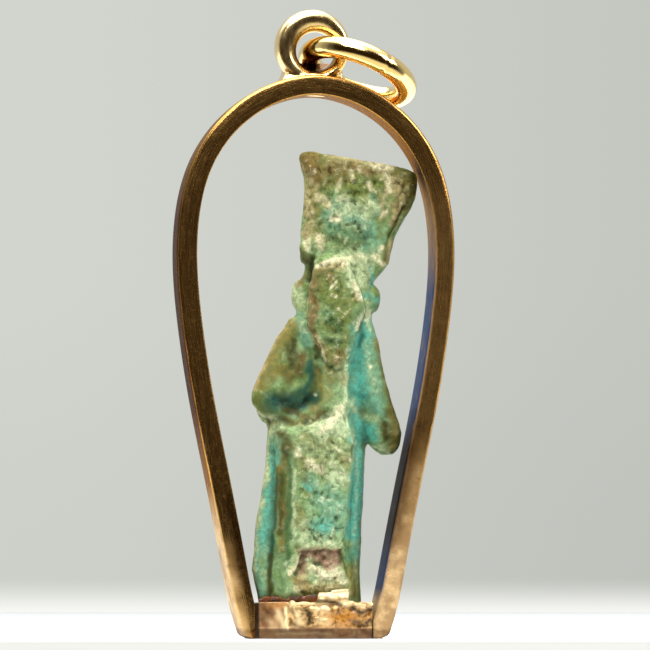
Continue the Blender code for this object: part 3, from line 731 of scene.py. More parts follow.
# Each row: half width and height in hundredths of a mm, then the corners of a line that stands proud or,
# below zero, sunk: in pixels on the photographed back, in hundredths of the height on the front.
BACK_STROKES: Rows = (
    (20, -16, 310, 264, 309, 280, 308, 296), (24, -14, 311, 250, 312, 260),
    (35, -16, 296, 338, 295, 356, 294, 376), (55, -30, 284, 404, 296, 408, 306, 402),
    (35, -16, 306, 402, 314, 388, 318, 370, 315, 352), (28, -20, 270, 419, 290, 422, 312, 420, 326, 414),
    (30, 10, 318, 434, 332, 424, 343, 412, 345, 390, 346, 368),
    (16, 6, 354, 290, 360, 306, 357, 322, 352, 345, 347, 366), (40, -14, 352, 418, 358, 430, 362, 446),
    (30, -16, 388, 418, 390, 432, 390, 444), (26, -20, 270, 452, 270, 500, 269, 560, 269, 598),
    (22, -10, 349, 450, 352, 480, 347, 520, 344, 550), (34, -16, 303, 554, 320, 554, 340, 553),
    (20, -10, 296, 574, 306, 558), (20, -10, 342, 558, 352, 580), (26, 8, 310, 566, 326, 571, 342, 566),
    (14, -10, 405, 207, 396, 224, 392, 232, 388, 246, 387, 260), (10, -5, 411, 186, 404, 206),
    (10, -5, 404, 186, 397, 210), (30, 10, 315, 262, 330, 259, 345, 263), (20, 5, 330, 158, 360, 162, 395, 169),
    (30, 20, 306, 250, 307, 259), (16, -14, 313, 258, 311, 268, 309, 280),
    (50, 12, 286, 334, 272, 362, 259, 394), (30, 8, 300, 352, 299, 370), (30, -10, 276, 398, 286, 400),
    (35, 7, 379, 344, 388, 392, 398, 432), (40, -12, 350, 366, 352, 392, 360, 412),
    (22, 6, 258, 470, 255, 520, 253, 570), (24, -8, 281, 460, 282, 540), (12, 9, 301, 551, 289, 575),
    (10, -7, 341, 551, 350, 577), (55, -10, 338, 238, 352, 245, 362, 238),
    (60, -5, 324, 190, 350, 176, 378, 186),
)
FRONT_STROKES: Rows = (
    (16, -8, 0.9, 68.9, 1.9, 69.7, 3, 69), (16, -8, 5, 69, 6.1, 69.7, 7.1, 68.9), (13, 10, 1, 69, 2.9, 68.8),
    (13, 10, 5.1, 68.8, 7, 69), (10, -11, 2.7, 65.6, 4, 65.4, 5.3, 65.6),
    (14, -11, -3, 60.2, 0.2, 56.4, 4, 55, 7.8, 56.4, 11, 60.2),
    (14, -11, -4, 58.6, -0.2, 54.6, 4, 53, 8.2, 54.6, 12, 58.6), (12, -8, -1.8, 57, -1.8, 66),
    (12, -8, 9.8, 57, 9.8, 66), (16, -14, -8.6, 43, 4, 41.6, 12.4, 42.6),
    (16, -13, -8.8, 45.2, 4, 44, 12.6, 44.8), (18, -16, -8, 23.4, 0, 22.6, 8, 23.4),
    (35, -35, -1.2, 2, -1.2, 21), (14, -13, 0.4, 25, 0.6, 40), (12, -10, -2.2, 25, -1, 40),
    (12, -10, 3, 25, 2.2, 40), (12, -10, -5, 25, -4.2, 39), (12, -10, 6, 25, 6.4, 39),
    (12, -8, -8.4, 26, -7.4, 38), (12, -8, 8.8, 26, 9.4, 38), (10, -11, -7.6, 0.6, -7.6, 3.4),
    (10, -11, -5.4, 0.6, -5.4, 3.4), (10, -11, 2.4, 0.6, 2.4, 3.4), (10, -11, 4.8, 0.6, 4.8, 3.4),
    (18, -16, 7.6, 77, 8.6, 86, 9.8, 96), (20, -13, -1.6, 79.6, 7.8, 78.8, 16.8, 78.2),
    (10, -6, -1.6, 82.6, 7.9, 81.4), (10, -6, -1.4, 86.4, 8.4, 84.8), (10, -6, -1.2, 90.2, 8.9, 88.4),
    (10, -6, 8.3, 81.6, 17.4, 82.4), (10, -6, 8.8, 85, 19, 86.2), (10, -6, 9.2, 88.6, 20.4, 90),
)

# Each row: half width in hundredths of a mm, strength in percent, then the corners in pixels. Some rows paint
# shadow or highlight, as the comments above them say.
PAINT: dict[Tone, Rows] = {
    Tone.SEA_GREEN: (
        (80, 90, 336, 214, 352, 222, 366, 232), (22, 100, 300, 318, 304, 330, 308, 344),
        (34, 70, 330, 315, 338, 322), (28, 70, 268, 396, 280, 398), (90, 90, 362, 330, 364, 370, 372, 410),
        (30, 70, 308, 478, 315, 490), (60, 80, 325, 500, 340, 510, 320, 528),
        (50, 90, 272, 440, 266, 500, 260, 560, 259, 590), (34, 60, 330, 486, 342, 505, 338, 530),
    ),
    Tone.GRASS: (
        # (12, 70, 302, 249) is a painted highlight on the knob at the crown's lower left
        (70, 90, 345, 182, 362, 192, 380, 186), (50, 70, 318, 190, 322, 205), (12, 70, 302, 249),
        (80, 80, 330, 285, 345, 300, 340, 325), (20, 90, 348, 300, 350, 312), (12, 70, 376, 290, 378, 306),
        (30, 80, 262, 396, 256, 404, 262, 412), (20, 70, 380, 350, 386, 390, 390, 410),
        (18, 60, 262, 560, 268, 590, 276, 598), (30, 60, 320, 372, 310, 400), (14, 60, 300, 356, 306, 366),
        (34, 80, 336, 300, 348, 316, 344, 340), (26, 50, 370, 200, 380, 222, 378, 236),
        (20, 50, 262, 388, 272, 392, 284, 392), (40, 40, 306, 462, 320, 474, 340, 466),
        (20, 50, 330, 345, 336, 352), (24, 60, 366, 410, 376, 422, 384, 430),
        (30, 60, 338, 242, 352, 248, 364, 244), (34, 50, 344, 226, 356, 233),
    ),
    Tone.OLIVE: (
        (55, 90, 303, 158, 312, 160, 322, 166), (30, 70, 322, 158, 360, 163, 400, 172),
        (50, 85, 396, 176, 408, 186, 402, 204), (20, 70, 388, 246, 386, 262),
        (34, 70, 322, 345, 334, 358, 340, 352), (45, 90, 290, 326, 276, 350, 262, 380),
        (30, 80, 316, 372, 320, 392, 316, 408), (30, 60, 330, 372, 328, 396),
        # (18, 80, 284, 420, ...) is a painted shadow band under the left arm
        (18, 80, 284, 420, 300, 423, 316, 420), (15, 90, 377, 336, 384, 372, 392, 404, 398, 428),
        (20, 90, 396, 424, 394, 448), (28, 60, 305, 438, 318, 448, 330, 444), (24, 60, 334, 452, 346, 462),
        (20, 50, 305, 462, 318, 462), (24, 60, 296, 515, 300, 530), (20, 90, 284, 456, 280, 480),
        (22, 95, 280, 470, 281, 500, 283, 545), (30, 80, 352, 575, 356, 595),
        (34, 90, 298, 582, 308, 588, 318, 592), (10, 80, 344, 566, 350, 578), (16, 60, 330, 578, 345, 588),
        (26, 65, 310, 190, 316, 215, 318, 240), (24, 60, 330, 176, 350, 180),
        (24, 90, 296, 585, 306, 590, 318, 593), (30, 70, 292, 378, 280, 366, 272, 380),
        (40, 70, 306, 160, 316, 172, 326, 180), (20, 60, 318, 234, 326, 240),
        (20, 50, 300, 452, 304, 470, 306, 490), (22, 50, 298, 510, 306, 524, 302, 538),
        (60, 42, 308, 446, 326, 456, 342, 450), (20, 60, 352, 568, 356, 590), (20, 60, 330, 366, 334, 380),
    ),
    Tone.FOREST: (
        (36, 60, 340, 242, 350, 247, 362, 242), (16, 70, 309, 350, 312, 366),
        (15, 80, 288, 456, 288, 500, 288, 550), (30, 50, 280, 550, 283, 575, 278, 592),
        (26, 50, 350, 552, 354, 566), (22, 70, 270, 396, 290, 398, 306, 388),
        (30, 70, 304, 368, 312, 380, 316, 398), (20, 70, 281, 476, 281, 505, 282, 535),
        (20, 90, 289, 500, 289, 530, 288, 556), (20, 80, 333, 322, 337, 330), (16, 70, 326, 338, 338, 344),
        (26, 40, 356, 240, 366, 248, 372, 252),
    ),
    Tone.TURQUOISE: (
        (30, 28, 366, 246, 374, 242), (24, 50, 374, 198, 378, 208), (16, 80, 371, 268, 372, 284),
        (30, 60, 366, 296, 374, 300), (25, 60, 368, 318, 364, 330), (40, 80, 360, 335, 357, 360, 358, 400),
        (30, 100, 358, 386, 362, 396), (15, 70, 304, 484, 308, 488), (24, 60, 318, 522, 328, 526),
        (26, 60, 271, 450, 267, 490, 262, 540), (30, 100, 358, 435, 359, 455, 356, 480),
        (28, 100, 357, 480, 356, 520, 354, 536), (24, 55, 354, 536, 355, 556),
        (40, 100, 354, 420, 360, 427, 370, 434),
    ),
    Tone.PALE: (
        # (15, 75, 336, 157, ...) is the pale rim on the crown's top edge: partly pale glaze, partly painted
        # highlight
        (15, 75, 336, 157, 360, 160, 390, 165), (31, 70, 338, 212, 352, 210, 366, 214),
        (26, 70, 368, 200, 376, 206), (36, 80, 295, 290, 296, 304), (18, 60, 303, 322, 306, 332),
        (8, 90, 309, 282, 309, 320), (59, 80, 352, 262, 362, 266, 356, 276),
        (9, 90, 346, 362, 346, 396, 345, 412), (52, 100, 322, 428, 340, 420), (39, 60, 268, 424, 276, 428),
        (22, 60, 350, 402, 356, 409), (18, 40, 366, 414, 374, 420), (8, 70, 370, 447, 380, 448, 392, 454),
        (80, 34, 300, 445, 320, 455, 345, 450), (39, 80, 335, 472, 342, 482), (26, 60, 304, 526, 300, 540),
        (9, 60, 294, 470, 293, 500, 294, 540), (39, 70, 318, 541, 332, 546),
        (16, 90, 268, 432, 262, 480, 254, 540, 252, 585), (18, 70, 288, 566, 296, 572),
        (12, 60, 352, 428, 355, 445), (26, 60, 318, 576, 330, 582), (26, 60, 306, 568, 318, 578),
        (31, 80, 346, 262, 356, 270, 352, 280), (40, 80, 316, 424, 330, 428, 342, 434),
        (18, 60, 350, 404, 357, 411), (10, 40, 262, 392, 268, 398), (30, 35, 346, 224, 358, 228, 366, 226),
        (16, 36, 364, 340, 370, 368, 376, 392), (10, 50, 366, 300, 370, 330),
        (10, 35, 356, 450, 357, 500, 355, 535),
    ),
    Tone.STRAW: (
        (28, 85, 303, 176, 308, 200, 306, 236), (18, 80, 398, 212, 391, 224), (15, 70, 392, 240, 390, 262),
        (16, 90, 328, 266, 342, 268), (13, 70, 312, 312, 314, 322), (12, 70, 284, 330, 268, 358, 256, 390),
        (18, 50, 340, 366, 343, 385), (10, 80, 304, 578, 308, 570), (26, 80, 296, 566, 304, 580, 300, 592),
        (26, 80, 322, 584, 336, 590, 346, 594), (16, 70, 312, 180, 318, 196, 330, 206),
        # (7, 80, 330, 158, ...) is partly pale glaze, partly painted highlight on the crown's top edge
        (20, 70, 392, 178, 384, 200, 382, 216), (7, 80, 330, 158, 355, 161, 390, 166),
        (34, 85, 396, 184, 404, 196, 398, 208), (20, 70, 402, 200, 396, 220),
        (16, 90, 318, 268, 326, 265, 336, 266), (26, 55, 330, 164, 350, 168, 380, 172),
        (10, 60, 352, 300, 355, 296), (12, 40, 356, 556, 356, 580),
    ),
    Tone.TEAL: (
        (20, 75, 309, 362, 312, 376, 305, 392, 298, 402), (26, 100, 276, 403, 290, 407, 304, 404),
        (18, 60, 361, 334, 359, 344), (22, 40, 366, 398, 374, 410), (18, 45, 356, 392, 364, 398),
        (12, 70, 275, 480, 272, 530, 269, 575), (46, 85, 272, 402, 286, 405, 298, 404, 308, 396),
    ),
    Tone.BROWN: (
        (42, 60, 306, 166, 318, 176), (34, 60, 330, 170, 352, 168, 372, 172), (18, 80, 304, 275, 300, 284),
        (22, 60, 315, 274, 324, 272, 330, 276), (19, 90, 314, 282, 313, 294, 316, 306, 314, 318),
        (14, 80, 314, 322, 316, 338, 321, 348), (13, 70, 340, 352, 338, 362), (20, 80, 302, 356, 298, 370),
        (12, 60, 300, 415, 314, 418, 326, 410), (10, 60, 282, 500, 283, 530),
        (30, 80, 303, 162, 312, 168, 316, 178), (24, 55, 316, 274, 319, 282, 317, 294),
        (16, 70, 303, 156, 310, 156, 318, 160), (24, 50, 298, 581, 310, 588, 322, 591),
    ),
    Tone.BARK: (
        # painted shade among these rows: the shadow at the figure's foot above the plate's rim (306, 593 ... and
        # 260, 599 ...), the shadow in the groove at the mane's top-left corner (311, 262 ...) and the shade in
        # the groove between the left arm and the torso (294, 340 ... and 291, 344 ...)
        (12, 80, 412, 176, 415, 188, 408, 208), (6, 90, 404, 208, 396, 226, 391, 236),
        (26, 80, 304, 253, 308, 259), (12, 100, 311, 262, 309, 280), (11, 60, 331, 326, 334, 332),
        (20, 90, 294, 340, 292, 352, 291, 366), (28, 55, 286, 372, 290, 384), (14, 80, 288, 410, 294, 411),
        (22, 90, 387, 422, 388, 440), (24, 80, 282, 433, 288, 443, 284, 450), (8, 70, 352, 446, 350, 460),
        (12, 90, 270, 555, 269, 596), (10, 60, 276, 470, 275, 530), (18, 90, 306, 593, 314, 596),
        (12, 90, 284, 411, 296, 413), (26, 70, 291, 344, 296, 356, 298, 368),
        (12, 70, 279, 476, 279, 500, 280, 535), (16, 75, 260, 599, 290, 598, 318, 595),
        (7, 60, 344, 562, 346, 574), (12, 30, 279, 462, 284, 456), (12, 40, 276, 404, 288, 407, 302, 403),
    ),
    Tone.MAUVE: (
        (22, 100, 303, 556, 315, 554, 325, 560, 331, 565, 338, 556), (8, 80, 320, 576, 322, 578),
        (26, 100, 306, 553, 322, 555, 338, 553), (13, 90, 301, 572, 303, 558), (18, 95, 326, 562, 338, 564),
    ),
    Tone.CREAM: (
        (16, 74, 376, 165, 392, 167), (17, 61, 387, 172, 389, 190), (12, 66, 368, 183, 371, 190),
        (9, 66, 351, 170, 353, 182), (12, 49, 341, 178, 336, 190), (26, 49, 322, 198, 328, 204),
        (21, 45, 340, 198, 346, 202), (16, 82, 333, 219, 339, 218), (22, 66, 320, 238, 322, 246),
        (20, 57, 305, 240, 308, 246), (13, 74, 383, 215, 385, 213), (9, 74, 382, 246, 378, 258),
        (14, 66, 374, 256, 384, 264), (20, 49, 345, 262, 352, 258, 366, 256),
        # (14, 75, 318, 266, ...) is partly cream glaze, partly painted highlight on the mane's top edge
        (14, 75, 318, 266, 326, 262, 336, 262, 343, 266), (7, 74, 331, 288, 335, 282), (8, 74, 336, 297),
        (8, 74, 338, 309), (7, 66, 322, 346, 326, 360), (10, 74, 352, 284, 354, 292),
        (13, 82, 356, 294, 359, 300), (8, 66, 362, 310, 358, 316, 354, 330), (12, 57, 370, 312, 367, 320),
        (7, 74, 315, 394), (17, 66, 318, 432, 330, 424, 342, 408), (8, 82, 371.5, 366),
        (16, 74, 296, 450, 297, 456), (17, 74, 306, 462, 312, 470, 322, 470), (9, 82, 349, 460),
        (8, 74, 330, 536), (7, 49, 322, 497, 330, 500), (8, 74, 300, 556, 290, 574),
        (15, 82, 312, 566, 320, 570, 330, 575), (26, 74, 334, 572, 342, 580),
        (14, 90, 314, 568, 322, 573, 331, 576), (16, 90, 335, 574, 341, 582),
        (8, 50, 258, 412, 264, 418, 270, 420),
    ),
}


# Each row: half width in mm, then both ends in pixels of a band rubbed bare.
RUBBED: Rows = (
    (1.1, 335, 270, 335, 350), (1.4, 320, 440, 322, 540), (1.4, 315, 560, 320, 590), (1.7, 325, 180, 388, 190),
    (1.6, 322, 210, 350, 245),
)


@dataclass
class GlazedFigure:
    """The deity: rounded forms grown into one skin, then carved, worn and painted."""

    height_mm: float = 22.4
    side_shear: float = 0.105
    turn_shear: float = 0.061
    voxel_mm: float = 0.075
    ease_passes: int = 5
    leg_centres: tuple[float, float] = (-6.0, 3.6)
    leg_half_width: float = 4.1
    grain_mm: float = 0.24
    grain_height_mm: float = 0.036
    swell_mm: float = 0.035
    crown_top_mm: float = 22.6
    faience: WornFaience = field(default_factory=WornFaience)

    @property
    def unit(self) -> float:
        """One hundredth of the figure's height in mm."""
        return self.height_mm / 100

    def loft(self, rows: Sequence[Sequence[float]], power: float, count: int = 48) -> Form:
        """A form through rounded-box sections.

        Args:
            rows: Height, left, right, back, front and, where it has one, the fall to the right.
            power: How boxy the sections are; 2 is an ellipse.
            count: Points round a section.

        Returns:
            Points and faces.
        """
        points = []
        for row in rows:
            height, left, right, back, front = row[:5]
            fall = row[5] if len(row) > 5 else 0.0
            for k in range(count):
                a = 2 * math.pi * k / count
                c, s = math.cos(a), math.sin(a)
                x = (right - left) / 2 * bulge(c, 2 / power)
                y = (front - back) / 2 * bulge(s, 2 / power)
                points.append(((left + right) / 2 + x, (back + front) / 2 + y, height - fall * x))
        return points, tube_faces(len(rows), count, False)

    def pillar(self) -> Form:
        """The back pillar, with sloped sides."""
        points: list[Any] = []
        for height, left, right, foot_left, foot_right, back in PILLAR:
            points += [(left, back, height), (right, back, height), (foot_right, -3.4, height)]
            points += [(foot_right, 1.0, height), (foot_left, 1.0, height), (foot_left, -3.6, height)]
        return points, tube_faces(len(PILLAR), 6, False)

    def rough_shape(self) -> tuple[Array, list[tuple[int, ...]]]:
        """All forms, leaning and turned as the figure stands.

        Returns:
            Points in mm in the frame, and faces.
        """
        forms = [self.loft(TRUNK, 2.8), self.loft(CROWN, 4.0), self.pillar(), self.loft(LEFT_ARM, 2.3)]
        forms += [self.loft(RIGHT_ARM, 2.3), self.loft(APRON, 2.6), self.loft([(*row, 0.0) for row in MANE], 3.2)]
        for centre in self.leg_centres:
            left, right = centre - self.leg_half_width, centre + self.leg_half_width
            forms.append(self.loft([(height, left, right, 0.0, front) for height, front in LEGS], 2.2))
        forms += [egg_form(centre, half) for centre, half in ROUND_FORMS]
        points, faces = joined(forms)
        x, y, z = points.T
        axis = np.interp(z, (0.0, 100.0), (-0.8, 9.7))
        shaped = np.column_stack([x + self.side_shear * y, y + self.turn_shear * (x - axis), z]) * self.unit
        floor = in_mm(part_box("deity_figure"))[0][2]
        shaped[:, 2] = (shaped[:, 2] - shaped[:, 2].min()) * self.height_mm / np.ptp(shaped[:, 2]) + floor
        shaped[:, 1] += band_middle()
        return shaped, faces

    def build(self) -> Object:
        """Make the figure.

        Returns:
            The figure piece.
        """
        mesh, points, edges, normals = grown_skin(*self.rough_shape(), self.voxel_mm, self.ease_passes)
        spots = VIEW.pixels(points)
        _, away = VIEW.axes()
        seen = clamp01(0.35 - 2.2 * (normals @ away))
        broad = lattice_noise(points, 1.1, 3)
        tones = self.paint(points, spots, seen)
        bare = self.bareness(spots, seen, tones, broad)
        lift = self.carve(points, spots, seen)
        coarse = lattice_noise(points, self.grain_mm, 11) + 0.6 * lattice_noise(points, self.grain_mm * 0.55, 12)
        pits = np.minimum(0.0, lattice_noise(points, self.grain_mm * 1.3, 13) + 0.25)
        lift += self.grain_height_mm * (0.2 + 1.1 * bare) * coarse + 0.08 * bare * pits
        lift += self.swell_mm * broad
        carved = eased(points + normals * lift[:, None], edges, 1)
        hollow, crest_highlight = self.hollows(carved, normals, edges)
        # teal glaze pools in the hollows; proud crests take straw, partly wear and partly painted highlight;
        # hollows of the bare crust take bark, partly dirt and partly painted shade
        for tone, weight in ((Tone.TEAL, 0.45 * hollow * (1 - bare) * (1 - 0.5 * seen)),
                             (Tone.STRAW, 0.45 * crest_highlight * (0.6 + 0.6 * broad)), (Tone.BARK, 0.40 * hollow * bare)):
            tones[tone] = np.maximum(tones[tone], weight)
        self.paint_hidden_side(points, seen, bare, tones)
        low, high = in_mm(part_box("deity_figure"))
        carved = np.clip(carved, low - 0.02, high + 0.02)
        weights = {"bare": bare, "hollow": hollow, "lump": coarse}
        weights |= {tone.name.lower(): weight for tone, weight in tones.items()}
        piece = skin_piece("amulet_figure", mesh, carved, weights, self.faience.build())
        return settle(piece, "faience", "deity_figure")

    def carve(self, points: Array, spots: Array, seen: Array) -> Array:
        """Height in mm that fields and strokes add along the normal.

        Args:
            points: Positions in mm.
            spots: The points in the picture, in pixels.
            seen: How far each point faces the camera, from 0 to 1.

        Returns:
            One height for each point.
        """
        low, _ = in_mm(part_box("deity_figure"))
        depth = (points[:, 1] - band_middle()) / self.unit
        x, z = points[:, 0] / self.unit - self.side_shear * depth, (points[:, 2] - low[2]) / self.unit
        front = np.column_stack([x, z])
        lift = np.zeros(len(points))
        wobble = drift_noise(points, 0.45, (61, 62), 1.6)
        for height, edge, *outline in FIELDS:
            inside = field_depth(spots + wobble, outline) * VIEW.pixel_mm
            lift += height / 100 * clamp01(inside / (edge / 100) + 0.5) * seen
        for rows, places, scale, there in ((BACK_STROKES, spots + wobble, VIEW.pixel_mm, seen),
                                           (FRONT_STROKES, front, self.unit, clamp01(1 - 2 * seen))):
            for width, height, *line in rows:
                near = line_distance(places, line) * scale
                lift += height / 100 * np.exp(-0.5 * (near / (width / 100) * 1.6) ** 2) * there
        return lift

    def paint(self, points: Array, spots: Array, seen: Array) -> dict[Tone, Array]:
        """Weight of each tone on the photographed side, with ragged edges.

        Args:
            points: Positions in mm.
            spots: The points in the picture, in pixels.
            seen: How far each point faces the camera, from 0 to 1.

        Returns:
            One weight from 0 to 1 for each point and tone.
        """
        tones = {tone: np.zeros(len(points)) for tone in Tone}
        drift = drift_noise(points, 0.5, (51, 53), 4.0) + drift_noise(points, 0.22, (52, 54), 2.0)
        for tone, rows in PAINT.items():
            for width, strength, *line in rows:
                bent = spots + drift * min(1.0, width / 100 / 0.24)
                near = line_distance(bent, line) * VIEW.pixel_mm / (width / 100)
                weight = strength / 100 * np.exp(-0.5 * (near * 1.15) ** 2.1) * seen
                tones[tone] = np.maximum(tones[tone], weight)
        return tones

    def bareness(self, spots: Array, seen: Array, tones: dict[Tone, Array],
                 broad: Array) -> Array:
        """How far the glaze is rubbed away, from 0 to 1; glassy tones keep their skin."""
        rubbed = np.zeros(len(spots))
        for width, *line in RUBBED:
            near = line_distance(spots, line) * VIEW.pixel_mm / width
            rubbed = np.maximum(rubbed, np.exp(-0.5 * (near * 1.2) ** 4) * seen)
        glassy = np.maximum(tones[Tone.TEAL], tones[Tone.TURQUOISE])
        return clamp01(0.22 + 0.72 * rubbed + 0.25 * broad - 0.8 * glassy)

    def hollows(self, points: Array, normals: Array, edges: Array) -> tuple[Array, Array]:
        """How hollow and how proud each point is, from 0 to 1."""
        inside = eased(points, edges, 14)
        depth = np.einsum("ij,ij->i", inside - points, normals)
        return clamp01(depth / 0.05), clamp01(-depth / 0.06)

    def paint_hidden_side(self, points: Array, seen: Array, bare: Array,
                          tones: dict[Tone, Array]) -> None:
        """Lay plainer tones of the same glaze on the side that the photograph doesn't show."""
        unseen = clamp01(1 - 2 * seen)
        top = clamp01((points[:, 2] - self.crown_top_mm) / 0.25) * clamp01(1.2 - seen)
        wash = lattice_noise(points, 2.2, 21) * 0.6 + lattice_noise(points, 0.8, 22) * 0.5
        olive = np.maximum(unseen * clamp01(lattice_noise(points, 1.3, 23) - 0.15), 0.9 * top)
        for tone, weight, kept in (
            (Tone.TURQUOISE, unseen * clamp01(0.25 + wash) * 0.8, 1 - 0.8 * top),
            (Tone.PALE, unseen * clamp01(0.1 - wash) * (0.4 + 0.6 * bare), 1 - 0.8 * top),
            (Tone.OLIVE, olive, 1.0),
            (Tone.BROWN, 0.3 * top, 1.0),
        ):
            tones[tone] = np.maximum(tones[tone], weight) * kept


@dataclass
class PendantFrame:
    """The band bent to a horseshoe: its side outline, swept with a rounded section."""

    thickness_mm: float = 0.96
    corner_mm: float = 0.17
    inner_corner_mm: float = 0.07
    face_crown_mm: float = 0.015
    heel_mm: float = 0.32
    cup_mm: float = 1.62
    cup_gaps_mm: tuple[float, float] = (0.18, 0.03)
    stain_top_mm: float = 22.5
    frost_top_mm: float = 13.5
    stations: int = 440
    corner_steps: int = 5
    gold: WornGold = field(default_factory=lambda: WornGold(
        "rose_gold", "#CA9C5A", "#5A3A18", 0.26, 0.42, edge="#86705C", brushed=True))
    widths: tuple[Pixel, ...] = (
        (0.0, 0.5188), (0.0142, 0.5385), (0.0409, 0.5742), (0.0676, 0.5993), (0.121, 0.6386), (0.1744, 0.678),
        (0.2277, 0.7209), (0.2811, 0.7621), (0.3345, 0.8086), (0.3878, 0.8515), (0.4412, 0.8927),
        (0.4946, 0.9267), (0.548, 0.9571), (0.6013, 0.9821), (0.6547, 0.9975), (0.6814, 1.0), (0.7081, 0.9975),
        (0.7348, 0.9896), (0.7615, 0.9775), (0.7881, 0.9589), (0.8148, 0.932), (0.8415, 0.8937),
        (0.8682, 0.8426), (0.8949, 0.7728), (0.9216, 0.6848), (0.9394, 0.6068), (0.9554, 0.5224),
        (0.9714, 0.42), (0.9821, 0.3256), (0.9918, 0.2), (0.9981, 0.085), (1.0, 0.0),
    )

    def outline(self) -> tuple[Array, Array]:
        """Outer and inner edge of the band as (x, z) in mm, from the left foot over the top to the right foot."""
        low, high = in_mm(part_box("frame_band"))
        half, height = (high[0] - low[0]) / 2, high[2]
        right = [(share * half, level * height) for level, share in self.widths]
        corners = np.array([(-x, z) for x, z in right] + right[-2::-1])
        steps = np.r_[0.0, np.cumsum(np.linalg.norm(np.diff(corners, axis=0), axis=1))]
        even = np.linspace(0.0, steps[-1], self.stations)
        outer = np.column_stack([np.interp(even, steps, corners[:, k]) for k in range(2)])
        for _ in range(70):
            outer[1:-1] = 0.25 * outer[:-2] + 0.5 * outer[1:-1] + 0.25 * outer[2:]
        outer[:, 1] *= height / outer[:, 1].max()
        along = np.gradient(outer, axis=0)
        along /= np.linalg.norm(along, axis=1, keepdims=True)
        inner = outer + self.thickness_mm * np.column_stack([along[:, 1], -along[:, 0]])
        cup_low, cup_high = in_mm(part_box("base_cup"))
        plate_top = self.cup_mm + 0.6 * self.thickness_mm
        inner[0, 1] = inner[-1, 1] = 0.0
        rise = np.clip(outer[:, 1], 0.0, self.heel_mm)
        heel = self.heel_mm - np.sqrt(np.clip(self.heel_mm**2 - (self.heel_mm - rise) ** 2, 0.0, None))
        outer[:, 0] -= np.sign(outer[:, 0]) * heel
        inner[:, 1] = np.maximum(inner[:, 1], 0.0)
        low_end = inner[:, 1] < plate_top
        left_foot, right_foot = low_end & (inner[:, 0] < 0), low_end & (inner[:, 0] > 0)
        inner[left_foot, 0] = np.minimum(inner[left_foot, 0], cup_low[0] - self.cup_gaps_mm[0])
        inner[right_foot, 0] = np.maximum(inner[right_foot, 0], cup_high[0] + self.cup_gaps_mm[1])
        return outer, inner

    def section(self, half: float) -> list[tuple[float, float]]:
        """Rounded section as (share of the way from inner to outer edge, y in mm), from its half depth."""
        wide, crown = self.thickness_mm, self.face_crown_mm
        flat = half - crown
        corners = ((1, 1, self.corner_mm), (-1, 1, self.inner_corner_mm), (-1, -1, self.inner_corner_mm),
                   (1, -1, self.corner_mm))
        points: list[tuple[float, float]] = []
        for turn, (cx, cy, r) in enumerate(corners):
            for k in range(self.corner_steps + 1):
                a = math.radians(90 * (turn + k / self.corner_steps))
                points.append((cx * (wide / 2 - r) + r * math.cos(a), cy * (flat - r) + r * math.sin(a)))
            nx, ny, after = corners[(turn + 1) % 4]
            a = math.radians(90 * (turn + 1))
            goal = (nx * (wide / 2 - after) + after * math.cos(a), ny * (flat - after) + after * math.sin(a))
            last = points[-1]
            for t in np.arange(1, 8) / 8:
                rise = crown * (1 - (2 * t - 1) ** 2) * (0, 1, 0, -1)[(turn + 1) % 4]
                points.append((last[0] + (goal[0] - last[0]) * t, last[1] + (goal[1] - last[1]) * t + rise))
        return [(across / wide + 0.5, y) for across, y in points]

    def build(self) -> Object:
        """Make the band.

        Returns:
            The band piece.
        """
        outer, inner = self.outline()
        low, high = in_mm(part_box("frame_band"))
        middle, half = (low[1] + high[1]) / 2, (high[1] - low[1]) / 2
        section = self.section(half)
        shape = np.array([(ix + (ox - ix) * share, middle + y, iz + (oz - iz) * share)
                          for (ox, oz), (ix, iz) in zip(outer, inner) for share, y in section])
        wave = (lattice_noise(shape, 2.4, 31) - 1) * 0.034 + lattice_noise(shape, 0.9, 32) * 0.010
        shape[:, 1] += wave * np.sign(middle - shape[:, 1]) * -1
        shape[:, 1] = np.clip(shape[:, 1], low[1], high[1])
        piece = add_piece("gold_band", shape, tube_faces(len(outer), len(section), False), self.gold.build())
        share = np.tile([across for across, _ in section], len(outer))
        run = np.r_[0.0, np.cumsum(np.linalg.norm(np.diff(outer, axis=0), axis=1))]
        weights = self.wear(shape, share)
        weights |= {"run": np.repeat(run, len(section)), "across": share * self.thickness_mm}
        add_weights(piece.data, weights)
        return settle(piece, "rose_gold", "frame_band")

    def wear(self, points: Array, share: Array) -> dict[str, Array]:
        """Where the band is stained, rubbed dull, grimy and darkened.

        Args:
            points: Positions in mm.
            share: How far across the band each point lies, from its inner to its outer edge.

        Returns:
            Weights from 0 to 1 under the names of the material's attributes.
        """
        x, _, z = points.T
        broad = lattice_noise(points, 0.9, 71)
        patchy = broad + 0.6 * lattice_noise(points, 0.35, 72)
        inside = clamp01((0.10 - share) / 0.06)
        stain = inside * (x > 0) * clamp01((z - self.cup_mm + 0.02) / 0.8)
        stain *= clamp01((self.stain_top_mm - z) / 6.0) * clamp01(1.1 + 0.4 * patchy)
        right = clamp01((self.frost_top_mm - z + 1.2 * patchy) / 9.5) ** 1.9 * (x > 0)
        right = np.maximum(right, 0.08 * (x > 0) * clamp01((23 - z) / 4))
        left = clamp01((5.5 - z + 2.0 * broad) / 4.0) * (x <= 0)
        left *= clamp01(0.10 + 1.2 * (share - 0.3) + 0.3 * broad)
        low_side = clamp01((7.5 - z) / 3.0) * clamp01((share - 0.9) / 0.08)
        edges = clamp01((abs(share - 0.5) - 0.34) / 0.12) * (x > 0) * (z < 11)
